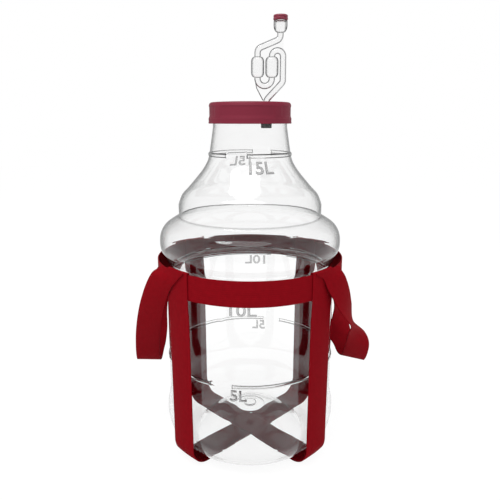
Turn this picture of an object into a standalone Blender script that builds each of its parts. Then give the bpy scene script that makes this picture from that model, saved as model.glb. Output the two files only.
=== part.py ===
"""A fifteen litre carboy in its webbing carrier, as separate solids.

Metres, +Z up. The origin is on the floor, on the axis of the bottle, and -Y is the front.
The clear bottle stands on two crossed webbing straps. Their ends fold over a webbing belt,
which also carries the two handle loops. The screw cap holds a bored bung off its centre,
and a twin-bubble lock stands in the bung.
"""

import math

import bmesh
import bpy
from mathutils import Vector

# Gaps between pieces that touch or fit
SEAT_GAP = 0.0003
FOLD_GAP = 0.0005

# Round shapes
TURN_STEPS = 44
SMALL_TURN_STEPS = 24
TUBE_RESOLUTION = 3
ARC_POINTS = 7

# Webbing
WEB_THICKNESS = 0.0015
BELT_WIDTH = 0.0325
BELT_BOTTOM_Z = 0.2328
BELT_SLACK = 0.0024
STRAP_WIDTH = 0.0390
STRAP_FOOT_SLACK = 0.0026
STRAP_WAIST_SLACK = 0.0112
STRAP_WAIST_DROP = 0.0320
STRAP_HEEL_R = 0.0130
STRAP_TAIL = 0.0300
STRAP_COLUMNS = 3
STRAP_AZIMUTH = 45.0
CROSSING_RAMP = 0.0220
HANDLE_WIDTH = 0.0345
HANDLE_REST = 0.0080
HANDLE_COLUMNS = 4
HANDLE_STEPS_PER_RUNG = 2

# Bottle
BOTTLE_WALL = 0.0014
PUNT_HEIGHT = 0.0345
PUNT_RING_R = 0.0440
PUNT_DISC_R = 0.0200
PUNT_NUB_R = 0.0080
PUNT_STEP = 0.0014
STAND_INNER_R = 0.0770
STAND_OUTER_R = 0.0960
HEEL_HEIGHT = 0.0240
FOOT_BAND_R = 0.1194
FOOT_BAND_TOP_Z = 0.0580
BODY_R = 0.1154
BODY_TOP_Z = 0.2400
WAIST_R = 0.1064
WAIST_Z = 0.2520
BULGE_R = 0.1230
BULGE_Z = 0.2880
GROOVE_R = 0.0966
GROOVE_Z = 0.3250
SHOULDER_R = 0.0968
SHOULDER_Z = 0.3370
CONE_R = 0.0655
CONE_Z = 0.3800
LEVEL_15_R = 0.0542
NECK_R = 0.0480
NECK_FOOT_Z = 0.4420

# Level beads, moulded round the bottle with a gap in front and one behind
LEVEL_5_Z = 0.1245
LEVEL_15_Z = 0.4035
LEVEL_10_Z = 0.2365
BEAD_WIDTH = 0.0054
BEAD_RISE = 0.0014
BEAD_GAP = 0.0280
LEVEL_5_GAP_AZIMUTH = -17.5
LEVEL_10_GAP_AZIMUTH = -24.0
LEVEL_15_GAP_AZIMUTH = -18.5

# Screw cap
CAP_TOP_Z = 0.4700
CAP_HEIGHT = 0.0270
CAP_OUTER_R = 0.0541
CAP_RIM_FLARE = 0.0009
CAP_BAND_HEIGHT = 0.0065
CAP_EDGE_DROP = 0.0040
CAP_EDGE_INSET = 0.0036
CAP_SKIRT_WALL = 0.0026
CAP_PANEL_RECESS = 0.0020
CAP_PANEL_R = 0.0470
CAP_PLATE = 0.0025
HOLE_X = 0.0216

# Sealing ring in the cap
SEAL_THICKNESS = 0.0022
SEAL_INNER_R = 0.0445

# Bored bung
BUNG_TOP_R = 0.0084
BUNG_BOTTOM_R = 0.0066
BUNG_BOTTOM_Z = 0.4370
BUNG_FLANGE_R = 0.0108
BUNG_FLANGE = 0.0014
BUNG_LIP = 0.0007

# Twin-bubble lock, heights above the panel of the cap
STEM_R = 0.0038
STEM_DEPTH = 0.0260
TUBE_R = 0.0041
LOCK_WALL = 0.0010
BEND_R = 0.0070
STEM_BEND_Z = 0.0055
RISER_X = 0.0210
RISER_BEND_Z = 0.0278
ARCH_Z = 0.0597
BUBBLE_R = 0.0081
BUBBLE_LENGTH = 0.0258
BUBBLE_SHOULDER = 0.0042
RIGHT_BUBBLE_X = 0.0067
LEFT_BUBBLE_X = -0.0118
BUBBLE_BOTTOM_Z = 0.0335
CROSS_BEND_Z = 0.0690
CUP_X = 0.0173
CUP_BEND_Z = 0.0810
CUP_BOTTOM_Z = 0.0888
CUP_R = 0.0089
CUP_HEIGHT = 0.0142
RIM_R = 0.0079
RIM_HEIGHT = 0.0048
WEB_SHEET = 0.0012
WEB_LOW_X = -0.0045
WEB_LOW_Z = 0.0045

# Dust cap of the lock
DUST_CAP_R = 0.0093
DUST_CAP_HEIGHT = 0.0066
DUST_CAP_PLATE = 0.0012

# Handles: rungs across the webbing, from its inner to its outer edge, chosen by hand. A point
# is its distance outside the seat on the strap, its azimuth from the front in degrees, and its
# drop below the top edge of the belt. Both lengths are in handle units.
HANDLE_UNIT = 0.0010
HANDLE_ROOT = [
    ((0.0, 36.5, -2.2), (0.0, 61.0, -1.6)),
    ((0.0, 42.5, 6.0), (3.5, 60.0, 2.0)),
]
LEFT_HANDLE_RUN = [
    ((0.6, 47.5, 17.0), (12.0, 61.5, 9.0)),
    ((0.6, 52.5, 31.5), (17.6, 65.0, 25.5)),
    ((0.6, 58.0, 50.0), (22.0, 69.0, 47.5)),
    ((0.4, 65.5, 75.5), (25.8, 74.5, 76.0)),
    ((0.3, 76.5, 114.5), (30.6, 82.0, 115.5)),
    ((0.5, 90.0, 159.5), (35.0, 90.0, 158.8)),
    ((-1.0, 97.5, 146.0), (31.9, 94.0, 147.0)),
    ((-1.0, 101.5, 135.5), (31.0, 98.0, 135.5)),
    ((3.5, 107.0, 123.0), (31.0, 101.5, 121.4)),
    ((11.0, 112.0, 106.0), (33.0, 105.0, 103.2)),
    ((15.5, 117.0, 87.5), (34.5, 108.5, 81.5)),
    ((15.0, 122.5, 64.0), (31.5, 112.0, 55.0)),
    ((8.0, 129.5, 36.0), (19.0, 116.5, 27.5)),
]
RIGHT_HANDLE_RUN = [
    ((2.2, 46.5, 19.0), (8.4, 60.0, 11.0)),
    ((6.0, 50.0, 34.0), (11.6, 64.0, 31.0)),
    ((10.5, 54.0, 49.5), (12.6, 68.0, 52.0)),
    ((15.0, 59.0, 64.5), (13.0, 72.0, 71.5)),
    ((18.8, 64.8, 80.0), (16.0, 75.5, 87.0)),
    ((18.0, 71.0, 98.0), (28.0, 80.0, 106.5)),
    ((7.5, 79.0, 124.5), (38.0, 83.5, 132.0)),
    ((1.0, 90.0, 152.0), (38.5, 90.0, 160.8)),
    ((-3.5, 98.0, 142.5), (33.0, 94.0, 151.0)),
    ((-4.2, 104.0, 130.0), (25.5, 101.0, 137.0)),
    ((4.5, 107.8, 112.0), (29.5, 112.0, 117.5)),
    ((11.0, 111.5, 92.0), (34.5, 117.5, 95.0)),
    ((12.0, 118.0, 69.0), (32.0, 118.5, 70.0)),
    ((4.0, 127.0, 35.0), (17.3, 114.8, 40.0)),
]

# Heights and radii that follow from the values above
STAND_Z = WEB_THICKNESS + SEAT_GAP
BELT_TOP_Z = BELT_BOTTOM_Z + BELT_WIDTH
BELT_INNER_R = max(BULGE_R, BODY_R + BEAD_RISE) + BELT_SLACK
STRAP_FOOT_R = max(FOOT_BAND_R, BODY_R) + STRAP_FOOT_SLACK
STRAP_WAIST_R = BODY_R + STRAP_WAIST_SLACK
BELT_OUTER_R = BELT_INNER_R + WEB_THICKNESS
STRAP_BELT_R = BELT_OUTER_R + SEAT_GAP + WEB_THICKNESS / 2
STRAP_TAIL_R = BELT_INNER_R - FOLD_GAP - WEB_THICKNESS / 2
HANDLE_SEAT_R = STRAP_BELT_R + WEB_THICKNESS + SEAT_GAP
CAP_BOTTOM_Z = CAP_TOP_Z - CAP_HEIGHT
PANEL_Z = CAP_TOP_Z - CAP_PANEL_RECESS
PLATE_UNDER_Z = PANEL_Z - CAP_PLATE
LIP_Z = PLATE_UNDER_Z - 2 * SEAT_GAP - SEAL_THICKNESS
CAP_INNER_R = CAP_OUTER_R - CAP_SKIRT_WALL
CUP_TOP_Z = PANEL_Z + CUP_BOTTOM_Z + CUP_HEIGHT
RIM_TOP_Z = CUP_TOP_Z + RIM_HEIGHT


def clear_scene():
    """Remove whatever the scene starts with."""
    for obj in list(bpy.data.objects):
        bpy.data.objects.remove(obj, do_unlink=True)


def new_collection(name):
    """Add a collection to the scene."""
    collection = bpy.data.collections.new(name)
    bpy.context.scene.collection.children.link(collection)
    return collection


def new_material(name, colour, roughness, alpha=1.0):
    """A plain surface in the piece's own colour."""
    material = bpy.data.materials.new(name)
    material.use_nodes = True
    shader = material.node_tree.nodes["Principled BSDF"]
    shader.inputs["Base Color"].default_value = (*colour, 1.0)
    shader.inputs["Roughness"].default_value = roughness
    shader.inputs["Alpha"].default_value = alpha
    material.diffuse_color = (*colour, alpha)
    return material


def add_object(name, mesh, collection, material=None):
    """Link a mesh to a collection as an object of the same name."""
    obj = bpy.data.objects.new(name, mesh)
    collection.objects.link(obj)
    if material is not None:
        obj.data.materials.clear()
        obj.data.materials.append(material)
    return obj


def evaluated_mesh(obj):
    """The object's mesh with its modifiers done and its doubles merged."""
    depsgraph = bpy.context.evaluated_depsgraph_get()
    mesh = bpy.data.meshes.new_from_object(obj.evaluated_get(depsgraph))
    bm = bmesh.new()
    bm.from_mesh(mesh)
    bmesh.ops.remove_doubles(bm, verts=bm.verts, dist=1e-6)
    bm.to_mesh(mesh)
    bm.free()
    return mesh


def turned(name, profile, collection, material=None, closed=False, steps=TURN_STEPS, x=0.0):
    """Turn a profile of (radius, height) points round Z with a Screw modifier."""
    mesh = bpy.data.meshes.new(name)
    edges = [(i, i + 1) for i in range(len(profile) - 1)]
    if closed:
        edges.append((len(profile) - 1, 0))
    mesh.from_pydata([(radius, 0.0, height) for radius, height in profile], edges, [])
    obj = add_object(name, mesh, collection, material)
    obj.location.x = x
    screw = obj.modifiers.new("Turn", "SCREW")
    screw.axis = "Z"
    screw.angle = math.tau
    screw.steps = steps
    screw.render_steps = steps
    screw.use_merge_vertices = True
    screw.merge_threshold = 0.00001
    screw.use_smooth_shade = True
    return obj


def smooth_curve(points, per_span):
    """Points on a curve that passes through all the given points (Catmull-Rom)."""
    points = [Vector(point) for point in points]
    ends = [points[0] * 2 - points[1]] + points + [points[-1] * 2 - points[-2]]
    curve = []
    for i in range(1, len(ends) - 2):
        before, start, end, after = ends[i - 1], ends[i], ends[i + 1], ends[i + 2]
        for step in range(per_span):
            t = step / per_span
            curve.append(0.5 * (2 * start + (end - before) * t
                                + (2 * before - 5 * start + 4 * end - after) * t ** 2
                                + (3 * start - before - 3 * end + after) * t ** 3))
    curve.append(points[-1])
    return curve


def ease(t):
    """Smooth step from 0 to 1."""
    t = min(max(t, 0.0), 1.0)
    return t * t * (3.0 - 2.0 * t)


def bead_profile(radius_below, radius_above, height):
    """The three points of a level bead: its upper edge, its crest and its lower edge."""
    half = BEAD_WIDTH / 2
    middle = (radius_below + radius_above) / 2
    return [(radius_above, height + half), (middle + BEAD_RISE, height), (radius_below, height - half)]


def punt_point(radius, rise):
    """A point on the dome that the base is pushed up into, with the rise of its steps."""
    share = radius / STAND_INNER_R
    return (radius, STAND_Z + PUNT_HEIGHT * (1.0 - share ** 2.1) + rise)


def bottle_profile():
    """The outer side of the bottle, from its lip down to the middle of its base."""
    slope = (LEVEL_15_R - NECK_R) / (NECK_FOOT_Z - LEVEL_15_Z)
    half_drop = slope * BEAD_WIDTH / 2
    profile = [(NECK_R, LIP_Z), (NECK_R, NECK_FOOT_Z)]
    profile.append((NECK_R + 0.12 * (LEVEL_15_R - NECK_R), NECK_FOOT_Z - 0.008))
    profile += bead_profile(LEVEL_15_R + 1.6 * half_drop, LEVEL_15_R - half_drop, LEVEL_15_Z)
    shoulder = smooth_curve([
        (LEVEL_15_R + 0.0034, 0.0, LEVEL_15_Z - 0.011),
        (CONE_R, 0.0, CONE_Z),
        (CONE_R + 0.55 * (SHOULDER_R - CONE_R), 0.0, CONE_Z - 0.43 * (CONE_Z - SHOULDER_Z) - 0.0020),
        (SHOULDER_R - 0.0050, 0.0, SHOULDER_Z + 0.0125),
        (SHOULDER_R, 0.0, SHOULDER_Z),
    ], 1)
    profile += [(point.x, point.z) for point in shoulder]
    bulge = smooth_curve([
        (GROOVE_R, 0.0, GROOVE_Z),
        (GROOVE_R + 0.35 * (BULGE_R - GROOVE_R), 0.0, GROOVE_Z - 0.0075),
        (GROOVE_R + 0.72 * (BULGE_R - GROOVE_R), 0.0, GROOVE_Z - 0.0150),
        (BULGE_R - 0.0012, 0.0, BULGE_Z + 0.0100),
        (BULGE_R, 0.0, BULGE_Z - 0.0030),
        (BULGE_R - 0.0022, 0.0, BULGE_Z - 0.0140),
        (WAIST_R + 0.55 * (BULGE_R - WAIST_R), 0.0, WAIST_Z + 0.0110),
        (WAIST_R, 0.0, WAIST_Z),
        (WAIST_R + 0.6 * (BODY_R - WAIST_R), 0.0, WAIST_Z - 0.0065),
    ], 1)
    profile += [(point.x, point.z) for point in bulge]
    profile += [(BODY_R - 0.0002, BODY_TOP_Z)]
    profile += bead_profile(BODY_R, BODY_R, LEVEL_10_Z)[1:]
    profile += bead_profile(BODY_R, BODY_R, LEVEL_5_Z)
    profile += [(BODY_R, FOOT_BAND_TOP_Z + 0.0070), (FOOT_BAND_R, FOOT_BAND_TOP_Z)]
    heel = smooth_curve([
        (FOOT_BAND_R, 0.0, STAND_Z + HEEL_HEIGHT),
        (FOOT_BAND_R - 0.0035, 0.0, STAND_Z + 0.42 * HEEL_HEIGHT),
        (STAND_OUTER_R + 0.4 * (FOOT_BAND_R - STAND_OUTER_R), 0.0, STAND_Z + 0.09 * HEEL_HEIGHT),
        (STAND_OUTER_R, 0.0, STAND_Z),
    ], 1)
    profile += [(point.x, point.z) for point in heel]
    profile.append((STAND_INNER_R, STAND_Z))
    profile += [punt_point(radius, 0.0) for radius in (0.92 * STAND_INNER_R, 0.78 * STAND_INNER_R)]
    for radius in (PUNT_RING_R, PUNT_DISC_R, PUNT_NUB_R):
        profile += [punt_point(radius + PUNT_STEP, -PUNT_STEP / 2), punt_point(radius, PUNT_STEP / 2)]
    profile.append(punt_point(0.0, PUNT_STEP / 2))
    return profile


def gap_share(vertex, azimuth):
    """How far the vertex lies in the front or the back gap of a bead, from 0 to 1."""
    radius = math.hypot(vertex.x, vertex.y)
    turn = math.degrees(math.atan2(vertex.x, -vertex.y)) - azimuth
    turn = (turn + 90.0) % 180.0 - 90.0
    half_gap = math.degrees(BEAD_GAP / 2 / radius)
    return 1.0 if abs(turn) < half_gap else 0.0


def make_bottle(collection, material):
    """Turn the bottle, sink its beads at their gaps and give it its wall."""
    draft = turned("bottle_draft", bottle_profile(), collection)
    mesh = evaluated_mesh(draft)
    bpy.data.objects.remove(draft, do_unlink=True)
    levels = ((LEVEL_5_Z, LEVEL_5_GAP_AZIMUTH), (LEVEL_10_Z, LEVEL_10_GAP_AZIMUTH),
              (LEVEL_15_Z, LEVEL_15_GAP_AZIMUTH))
    for vertex in mesh.vertices:
        for height, azimuth in levels:
            if abs(vertex.co.z - height) < 0.0001:
                radius = math.hypot(vertex.co.x, vertex.co.y)
                flat = 1.0 - gap_share(vertex.co, azimuth) * BEAD_RISE / radius
                vertex.co.x *= flat
                vertex.co.y *= flat
    bottle = add_object("bottle", mesh, collection, material)
    bottle.data.shade_smooth()
    wall = bottle.modifiers.new("Wall", "SOLIDIFY")
    wall.thickness = BOTTLE_WALL
    wall.offset = -1.0
    wall.use_even_offset = True
    return bottle


def cut(obj, cutter, cutters):
    """Take the cutter out of the object and keep the cutter apart."""
    if cutter.name not in cutters.objects:
        cutters.objects.link(cutter)
    cutter.hide_render = True
    cutter.display_type = "WIRE"
    boolean = obj.modifiers.new("Cut", "BOOLEAN")
    boolean.operation = "DIFFERENCE"
    boolean.solver = "EXACT"
    boolean.object = cutter


def make_screw_cap(collection, cutters, material):
    """The screw cap: sunk panel, rounded edge, plain band and flared rim."""
    band_z = CAP_BOTTOM_Z + CAP_BAND_HEIGHT
    edge_r = CAP_OUTER_R - CAP_EDGE_INSET
    profile = [
        (0.0, PANEL_Z),
        (CAP_PANEL_R, PANEL_Z),
        (CAP_PANEL_R + 0.0008, CAP_TOP_Z),
        (edge_r, CAP_TOP_Z),
        (edge_r + 0.75 * CAP_EDGE_INSET, CAP_TOP_Z - 0.30 * CAP_EDGE_DROP),
        (CAP_OUTER_R - 0.0002, CAP_TOP_Z - CAP_EDGE_DROP),
        (CAP_OUTER_R, band_z + 0.0006),
        (CAP_OUTER_R + 0.0004, band_z),
        (CAP_OUTER_R + 0.0004, CAP_BOTTOM_Z + 0.0026),
        (CAP_OUTER_R + CAP_RIM_FLARE, CAP_BOTTOM_Z + 0.0016),
        (CAP_OUTER_R + CAP_RIM_FLARE, CAP_BOTTOM_Z),
        (CAP_INNER_R, CAP_BOTTOM_Z),
        (CAP_INNER_R, PLATE_UNDER_Z),
        (0.0, PLATE_UNDER_Z),
    ]
    cap = turned("screw_cap", profile, collection, material)
    hole_r = BUNG_TOP_R + SEAT_GAP
    middle = (PANEL_Z + PLATE_UNDER_Z) / 2
    hole = turned("hole_cutter", [
        (0.0, middle + 2 * CAP_PLATE), (hole_r, middle + 2 * CAP_PLATE),
        (hole_r, middle - 2 * CAP_PLATE), (0.0, middle - 2 * CAP_PLATE),
    ], cutters, steps=SMALL_TURN_STEPS, x=HOLE_X)
    cut(cap, hole, cutters)
    return cap


def make_seal(collection, material):
    """The flat ring that the cap presses on the lip of the neck."""
    top = PLATE_UNDER_Z - SEAT_GAP
    outer_r = CAP_INNER_R - SEAT_GAP
    profile = [(SEAL_INNER_R, top), (outer_r, top), (outer_r, top - SEAL_THICKNESS),
               (SEAL_INNER_R, top - SEAL_THICKNESS)]
    return turned("cap_seal", profile, collection, material, closed=True)


def make_bung(collection, material):
    """The bored bung, held in the plate of the cap between its flange and its lip."""
    bore_r = STEM_R + SEAT_GAP
    flange_under = PANEL_Z + SEAT_GAP
    flange_top = flange_under + BUNG_FLANGE
    lip_z = PLATE_UNDER_Z - SEAT_GAP
    profile = [
        (bore_r, flange_top),
        (BUNG_FLANGE_R - 0.0005, flange_top),
        (BUNG_FLANGE_R, flange_top - 0.0005),
        (BUNG_FLANGE_R, flange_under),
        (BUNG_TOP_R, flange_under),
        (BUNG_TOP_R, lip_z),
        (BUNG_TOP_R + BUNG_LIP, lip_z),
        (BUNG_TOP_R + BUNG_LIP, lip_z - 0.0010),
        (BUNG_TOP_R - 0.0003, lip_z - 0.0030),
        (BUNG_BOTTOM_R, BUNG_BOTTOM_Z),
        (bore_r, BUNG_BOTTOM_Z),
    ]
    return turned("bung", profile, collection, material, closed=True,
                  steps=SMALL_TURN_STEPS, x=HOLE_X)


def rounded_path(corners, radius, count):
    """A path through the corners in the XZ plane, with each inner corner rounded."""
    corners = [Vector((x, 0.0, z)) for x, z in corners]
    path = [corners[0]]
    for before, corner, after in zip(corners, corners[1:], corners[2:]):
        back = (before - corner).normalized()
        ahead = (after - corner).normalized()
        half_angle = back.angle(ahead) / 2
        middle = corner + (back + ahead).normalized() * radius / math.sin(half_angle)
        reach = radius / math.tan(half_angle)
        start = corner + back * reach - middle
        end = corner + ahead * reach - middle
        for step in range(count):
            t = step / (count - 1)
            swing = start.angle(end)
            path.append(middle + (start * math.sin((1 - t) * swing) + end * math.sin(t * swing))
                        / math.sin(swing))
    path.append(corners[-1])
    return path


def arc(middle_x, middle_z, radius, start, end, count):
    """Points on an arc in the XZ plane, from one angle to another in degrees."""
    points = []
    for step in range(count):
        angle = math.radians(start + (end - start) * step / (count - 1))
        points.append(Vector((middle_x + radius * math.cos(angle), 0.0,
                              middle_z + radius * math.sin(angle))))
    return points


def bubble(x, start_z, end_z):
    """Samples of a bubble on a straight run of the tube: points with their outer radius."""
    direction = math.copysign(1.0, end_z - start_z)
    samples = []
    for share, along in ((0.0, 0.0), (0.55, 0.12), (0.85, 0.45), (1.0, 1.0)):
        radius = TUBE_R + (BUBBLE_R - TUBE_R) * share
        samples.append((radius, along * BUBBLE_SHOULDER))
    run = [(Vector((x, 0.0, start_z + direction * along)), radius) for radius, along in samples]
    run += [(Vector((x, 0.0, end_z - direction * along)), radius)
            for radius, along in reversed(samples)]
    return run


def lock_samples(inset, spare):
    """The centre line of the lock with a radius at each point.

    The inset is taken off each outer radius, and the spare length is added at both ends, so the
    same route gives the outer form and the passage inside it.
    """
    right_x = HOLE_X + RIGHT_BUBBLE_X
    left_x = HOLE_X + LEFT_BUBBLE_X
    riser_x = HOLE_X + RISER_X
    cup_x = HOLE_X + CUP_X
    bubble_bottom = PANEL_Z + BUBBLE_BOTTOM_Z
    bubble_top = bubble_bottom + BUBBLE_LENGTH
    arch_z = PANEL_Z + ARCH_Z
    cup_z = PANEL_Z + CUP_BOTTOM_Z

    riser = rounded_path([
        (HOLE_X, PANEL_Z - STEM_DEPTH - spare),
        (HOLE_X, PANEL_Z + STEM_BEND_Z),
        (riser_x, PANEL_Z + RISER_BEND_Z),
        (riser_x, arch_z),
    ], BEND_R, ARC_POINTS - 3)
    samples = [(riser[0], STEM_R - inset), (riser[1], STEM_R - inset)]
    samples += [(point, TUBE_R - inset) for point in riser[2:-1]]
    arch_r = (riser_x - right_x) / 2
    samples += [(point, TUBE_R - inset)
                for point in arc(riser_x - arch_r, arch_z, arch_r, 0.0, 180.0, ARC_POINTS)]
    samples += [(point, radius - inset) for point, radius in bubble(right_x, bubble_top, bubble_bottom)]
    turn_r = (right_x - left_x) / 2
    samples += [(point, TUBE_R - inset)
                for point in arc(right_x - turn_r, bubble_bottom - 0.0006, turn_r, 0.0, -180.0, ARC_POINTS)]
    samples += [(point, radius - inset) for point, radius in bubble(left_x, bubble_bottom, bubble_top)]
    cross = rounded_path([
        (left_x, bubble_top),
        (left_x, PANEL_Z + CROSS_BEND_Z),
        (cup_x, PANEL_Z + CUP_BEND_Z),
        (cup_x, cup_z),
    ], BEND_R, ARC_POINTS - 3)
    samples += [(point, TUBE_R - inset) for point in cross[1:]]
    inner_limit = RIM_R - LOCK_WALL if inset else CUP_R
    for share, along in ((0.40, 0.05), (0.74, 0.18), (0.93, 0.38), (1.0, 0.62)):
        radius = TUBE_R + (CUP_R - TUBE_R) * share - inset
        samples.append((Vector((cup_x, 0.0, cup_z + along * CUP_HEIGHT)), min(radius, inner_limit)))
    if inset:
        samples.append((Vector((cup_x, 0.0, RIM_TOP_Z + spare)), inner_limit))
    else:
        samples.append((Vector((cup_x, 0.0, CUP_TOP_Z)), CUP_R))
        samples.append((Vector((cup_x, 0.0, CUP_TOP_Z + 0.00002)), RIM_R))
        samples.append((Vector((cup_x, 0.0, RIM_TOP_Z)), RIM_R))
    return samples


def swept_tube(name, samples, collection, material=None):
    """A round tube along the samples, as a closed mesh."""
    curve = bpy.data.curves.new(name + "_route", "CURVE")
    curve.dimensions = "3D"
    curve.bevel_depth = TUBE_R
    curve.bevel_resolution = TUBE_RESOLUTION
    curve.use_fill_caps = True
    spline = curve.splines.new("POLY")
    spline.points.add(len(samples) - 1)
    for target, (point, radius) in zip(spline.points, samples):
        target.co = (*point, 1.0)
        target.radius = radius / TUBE_R
    route = bpy.data.objects.new(name + "_route", curve)
    collection.objects.link(route)
    mesh = evaluated_mesh(route)
    bpy.data.objects.remove(route, do_unlink=True)
    return add_object(name, mesh, collection, material)


def lock_web(collection):
    """The thin sheet between the tubes of the lock, as an extruded flat outline."""
    riser_x = HOLE_X + RISER_X
    left_x = HOLE_X + LEFT_BUBBLE_X
    outline = [
        (HOLE_X + WEB_LOW_X, PANEL_Z + WEB_LOW_Z),
        (HOLE_X, PANEL_Z + WEB_LOW_Z),
        (riser_x, PANEL_Z + RISER_BEND_Z),
        (riser_x, PANEL_Z + CUP_BEND_Z + 0.0015),
        (left_x, PANEL_Z + CROSS_BEND_Z),
        (left_x, PANEL_Z + BUBBLE_BOTTOM_Z),
        (left_x - TUBE_R + 0.0006, PANEL_Z + BUBBLE_BOTTOM_Z - 0.0010),
        (left_x - TUBE_R + 0.0030, PANEL_Z + 0.0200),
    ]
    curve = bpy.data.curves.new("lock_web_outline", "CURVE")
    curve.dimensions = "2D"
    curve.fill_mode = "BOTH"
    curve.extrude = WEB_SHEET / 2
    spline = curve.splines.new("POLY")
    spline.points.add(len(outline) - 1)
    for target, (x, z) in zip(spline.points, outline):
        target.co = (x, z, 0.0, 1.0)
    spline.use_cyclic_u = True
    flat = bpy.data.objects.new("lock_web_outline", curve)
    flat.rotation_euler.x = math.radians(90.0)
    collection.objects.link(flat)
    bpy.context.view_layer.update()
    mesh = evaluated_mesh(flat)
    web = add_object("lock_web", mesh, collection)
    web.matrix_world = flat.matrix_world
    bpy.data.objects.remove(flat, do_unlink=True)
    return web


def make_airlock(collection, cutters, material):
    """The twin-bubble lock: outer sweep, joined to its web, with the passage cut through."""
    body = swept_tube("airlock_body", lock_samples(0.0, 0.0), collection, material)
    web = lock_web(cutters)
    web.hide_render = True
    web.display_type = "WIRE"
    join = body.modifiers.new("Web", "BOOLEAN")
    join.operation = "UNION"
    join.solver = "EXACT"
    join.object = web
    passage = swept_tube("passage_cutter", lock_samples(LOCK_WALL, 0.001), cutters)
    cut(body, passage, cutters)
    return body


def make_dust_cap(collection, material):
    """The dust cap, which sits on the step of the cup."""
    bottom = CUP_TOP_Z + SEAT_GAP
    top = bottom + DUST_CAP_HEIGHT
    inner_r = RIM_R + SEAT_GAP
    under = top - DUST_CAP_PLATE
    profile = [
        (0.0, top),
        (DUST_CAP_R - 0.0010, top),
        (DUST_CAP_R, top - 0.0010),
        (DUST_CAP_R, bottom),
        (inner_r, bottom),
        (inner_r, under),
        (0.0, under),
    ]
    return turned("airlock_cap", profile, collection, material, steps=SMALL_TURN_STEPS,
                  x=HOLE_X + CUP_X)


def make_belt(collection, material):
    """The webbing belt, sewn into a ring."""
    profile = [(BELT_INNER_R, BELT_TOP_Z), (BELT_OUTER_R, BELT_TOP_Z),
               (BELT_OUTER_R, BELT_BOTTOM_Z), (BELT_INNER_R, BELT_BOTTOM_Z)]
    return turned("belt", profile, collection, material, closed=True)


def ribbon(name, rows, collection, material):
    """A strip of webbing from rows of points across it, with its thickness on both sides."""
    mesh = bpy.data.meshes.new(name)
    bm = bmesh.new()
    grid = [[bm.verts.new(point) for point in row] for row in rows]
    for row, following in zip(grid, grid[1:]):
        for k in range(len(row) - 1):
            bm.faces.new((row[k], row[k + 1], following[k + 1], following[k]))
    bm.to_mesh(mesh)
    bm.free()
    strip = add_object(name, mesh, collection, material)
    strip.data.shade_smooth()
    sheet = strip.modifiers.new("Webbing", "SOLIDIFY")
    sheet.thickness = WEB_THICKNESS
    sheet.offset = 0.0
    sheet.use_even_offset = True
    return strip


def strap_half():
    """Half a strap from its folded end to the middle of the base.

    Each point is its distance from the bottle's axis, its height, and how far the strip bends
    round the bottle across its width, from 0 to 1.
    """
    half = WEB_THICKNESS / 2
    fold_r = (STRAP_BELT_R - STRAP_TAIL_R) / 2
    fold_z = BELT_TOP_Z + SEAT_GAP
    path = [(STRAP_TAIL_R, fold_z - STRAP_TAIL, 1.0), (STRAP_TAIL_R, fold_z - STRAP_TAIL / 2, 1.0)]
    for point in arc(STRAP_TAIL_R + fold_r, fold_z, fold_r, 180.0, 0.0, ARC_POINTS):
        path.append((point.x, point.z, 1.0))
    path.append((STRAP_BELT_R, BELT_BOTTOM_Z, 1.0))
    for t in (0.35, 0.65, 1.0):
        path.append((STRAP_BELT_R + (STRAP_WAIST_R - STRAP_BELT_R) * ease(t),
                     BELT_BOTTOM_Z - STRAP_WAIST_DROP * t, 1.0))
    path.append(((STRAP_WAIST_R + STRAP_FOOT_R) / 2, (BELT_BOTTOM_Z + FOOT_BAND_TOP_Z) / 2 - 0.010, 1.0))
    path.append((STRAP_FOOT_R, FOOT_BAND_TOP_Z, 1.0))
    for step, point in enumerate(arc(STRAP_FOOT_R - STRAP_HEEL_R, half + STRAP_HEEL_R, STRAP_HEEL_R,
                                     0.0, -90.0, ARC_POINTS)):
        path.append((point.x, point.z, 1.0 - ease(step / (ARC_POINTS - 1))))
    flat_end = STRAP_WIDTH / 2 + CROSSING_RAMP
    path.append((0.6 * STRAP_FOOT_R, half, 0.0))
    for t in (0.0, 0.33, 0.67, 1.0):
        path.append((flat_end - CROSSING_RAMP * t * 0.9, half, 0.0))
    path.append((0.0, half, 0.0))
    return path


def make_strap(name, azimuth, over, collection, material):
    """A strap under the bottle and up both its sides, over or under the other one."""
    half = strap_half()
    along = half + [(-distance, height, bend) for distance, height, bend in reversed(half[:-1])]
    flat_end = STRAP_WIDTH / 2 + CROSSING_RAMP
    turn = math.radians(azimuth)
    outward = Vector((math.sin(turn), -math.cos(turn), 0.0))
    sideways = Vector((math.cos(turn), math.sin(turn), 0.0))
    rows = []
    for distance, height, bend in along:
        if over and height < WEB_THICKNESS:
            lift = ease((flat_end - abs(distance)) / (0.9 * CROSSING_RAMP))
            height += lift * (WEB_THICKNESS + SEAT_GAP)
        row = []
        for k in range(STRAP_COLUMNS + 1):
            aside = STRAP_WIDTH * (k / STRAP_COLUMNS - 0.5)
            radius = max(abs(distance), STRAP_WIDTH)
            sag = bend * (radius - math.sqrt(radius ** 2 - aside ** 2))
            reach = distance - math.copysign(sag, distance)
            row.append(outward * reach + sideways * aside + Vector((0.0, 0.0, height)))
        rows.append(row)
    return ribbon(name, rows, collection, material)


def mirrored(rungs):
    """The same rungs on the other side of the middle plane, in the opposite order."""
    return [tuple((out, 180.0 - azimuth, drop) for out, azimuth, drop in rung)
            for rung in reversed(rungs)]


def rung_point(edge, side):
    """An end of a rung as its radius, azimuth and height. Side is 1 at the right."""
    out, azimuth, drop = edge
    return Vector((HANDLE_SEAT_R + out * HANDLE_UNIT, side * azimuth, BELT_TOP_Z - drop * HANDLE_UNIT))


def from_axis(point):
    """The place of a point that is given as radius, azimuth in degrees and height."""
    radius, azimuth, height = point
    turn = math.radians(azimuth)
    return Vector((radius * math.sin(turn), -radius * math.cos(turn), height))


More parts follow.
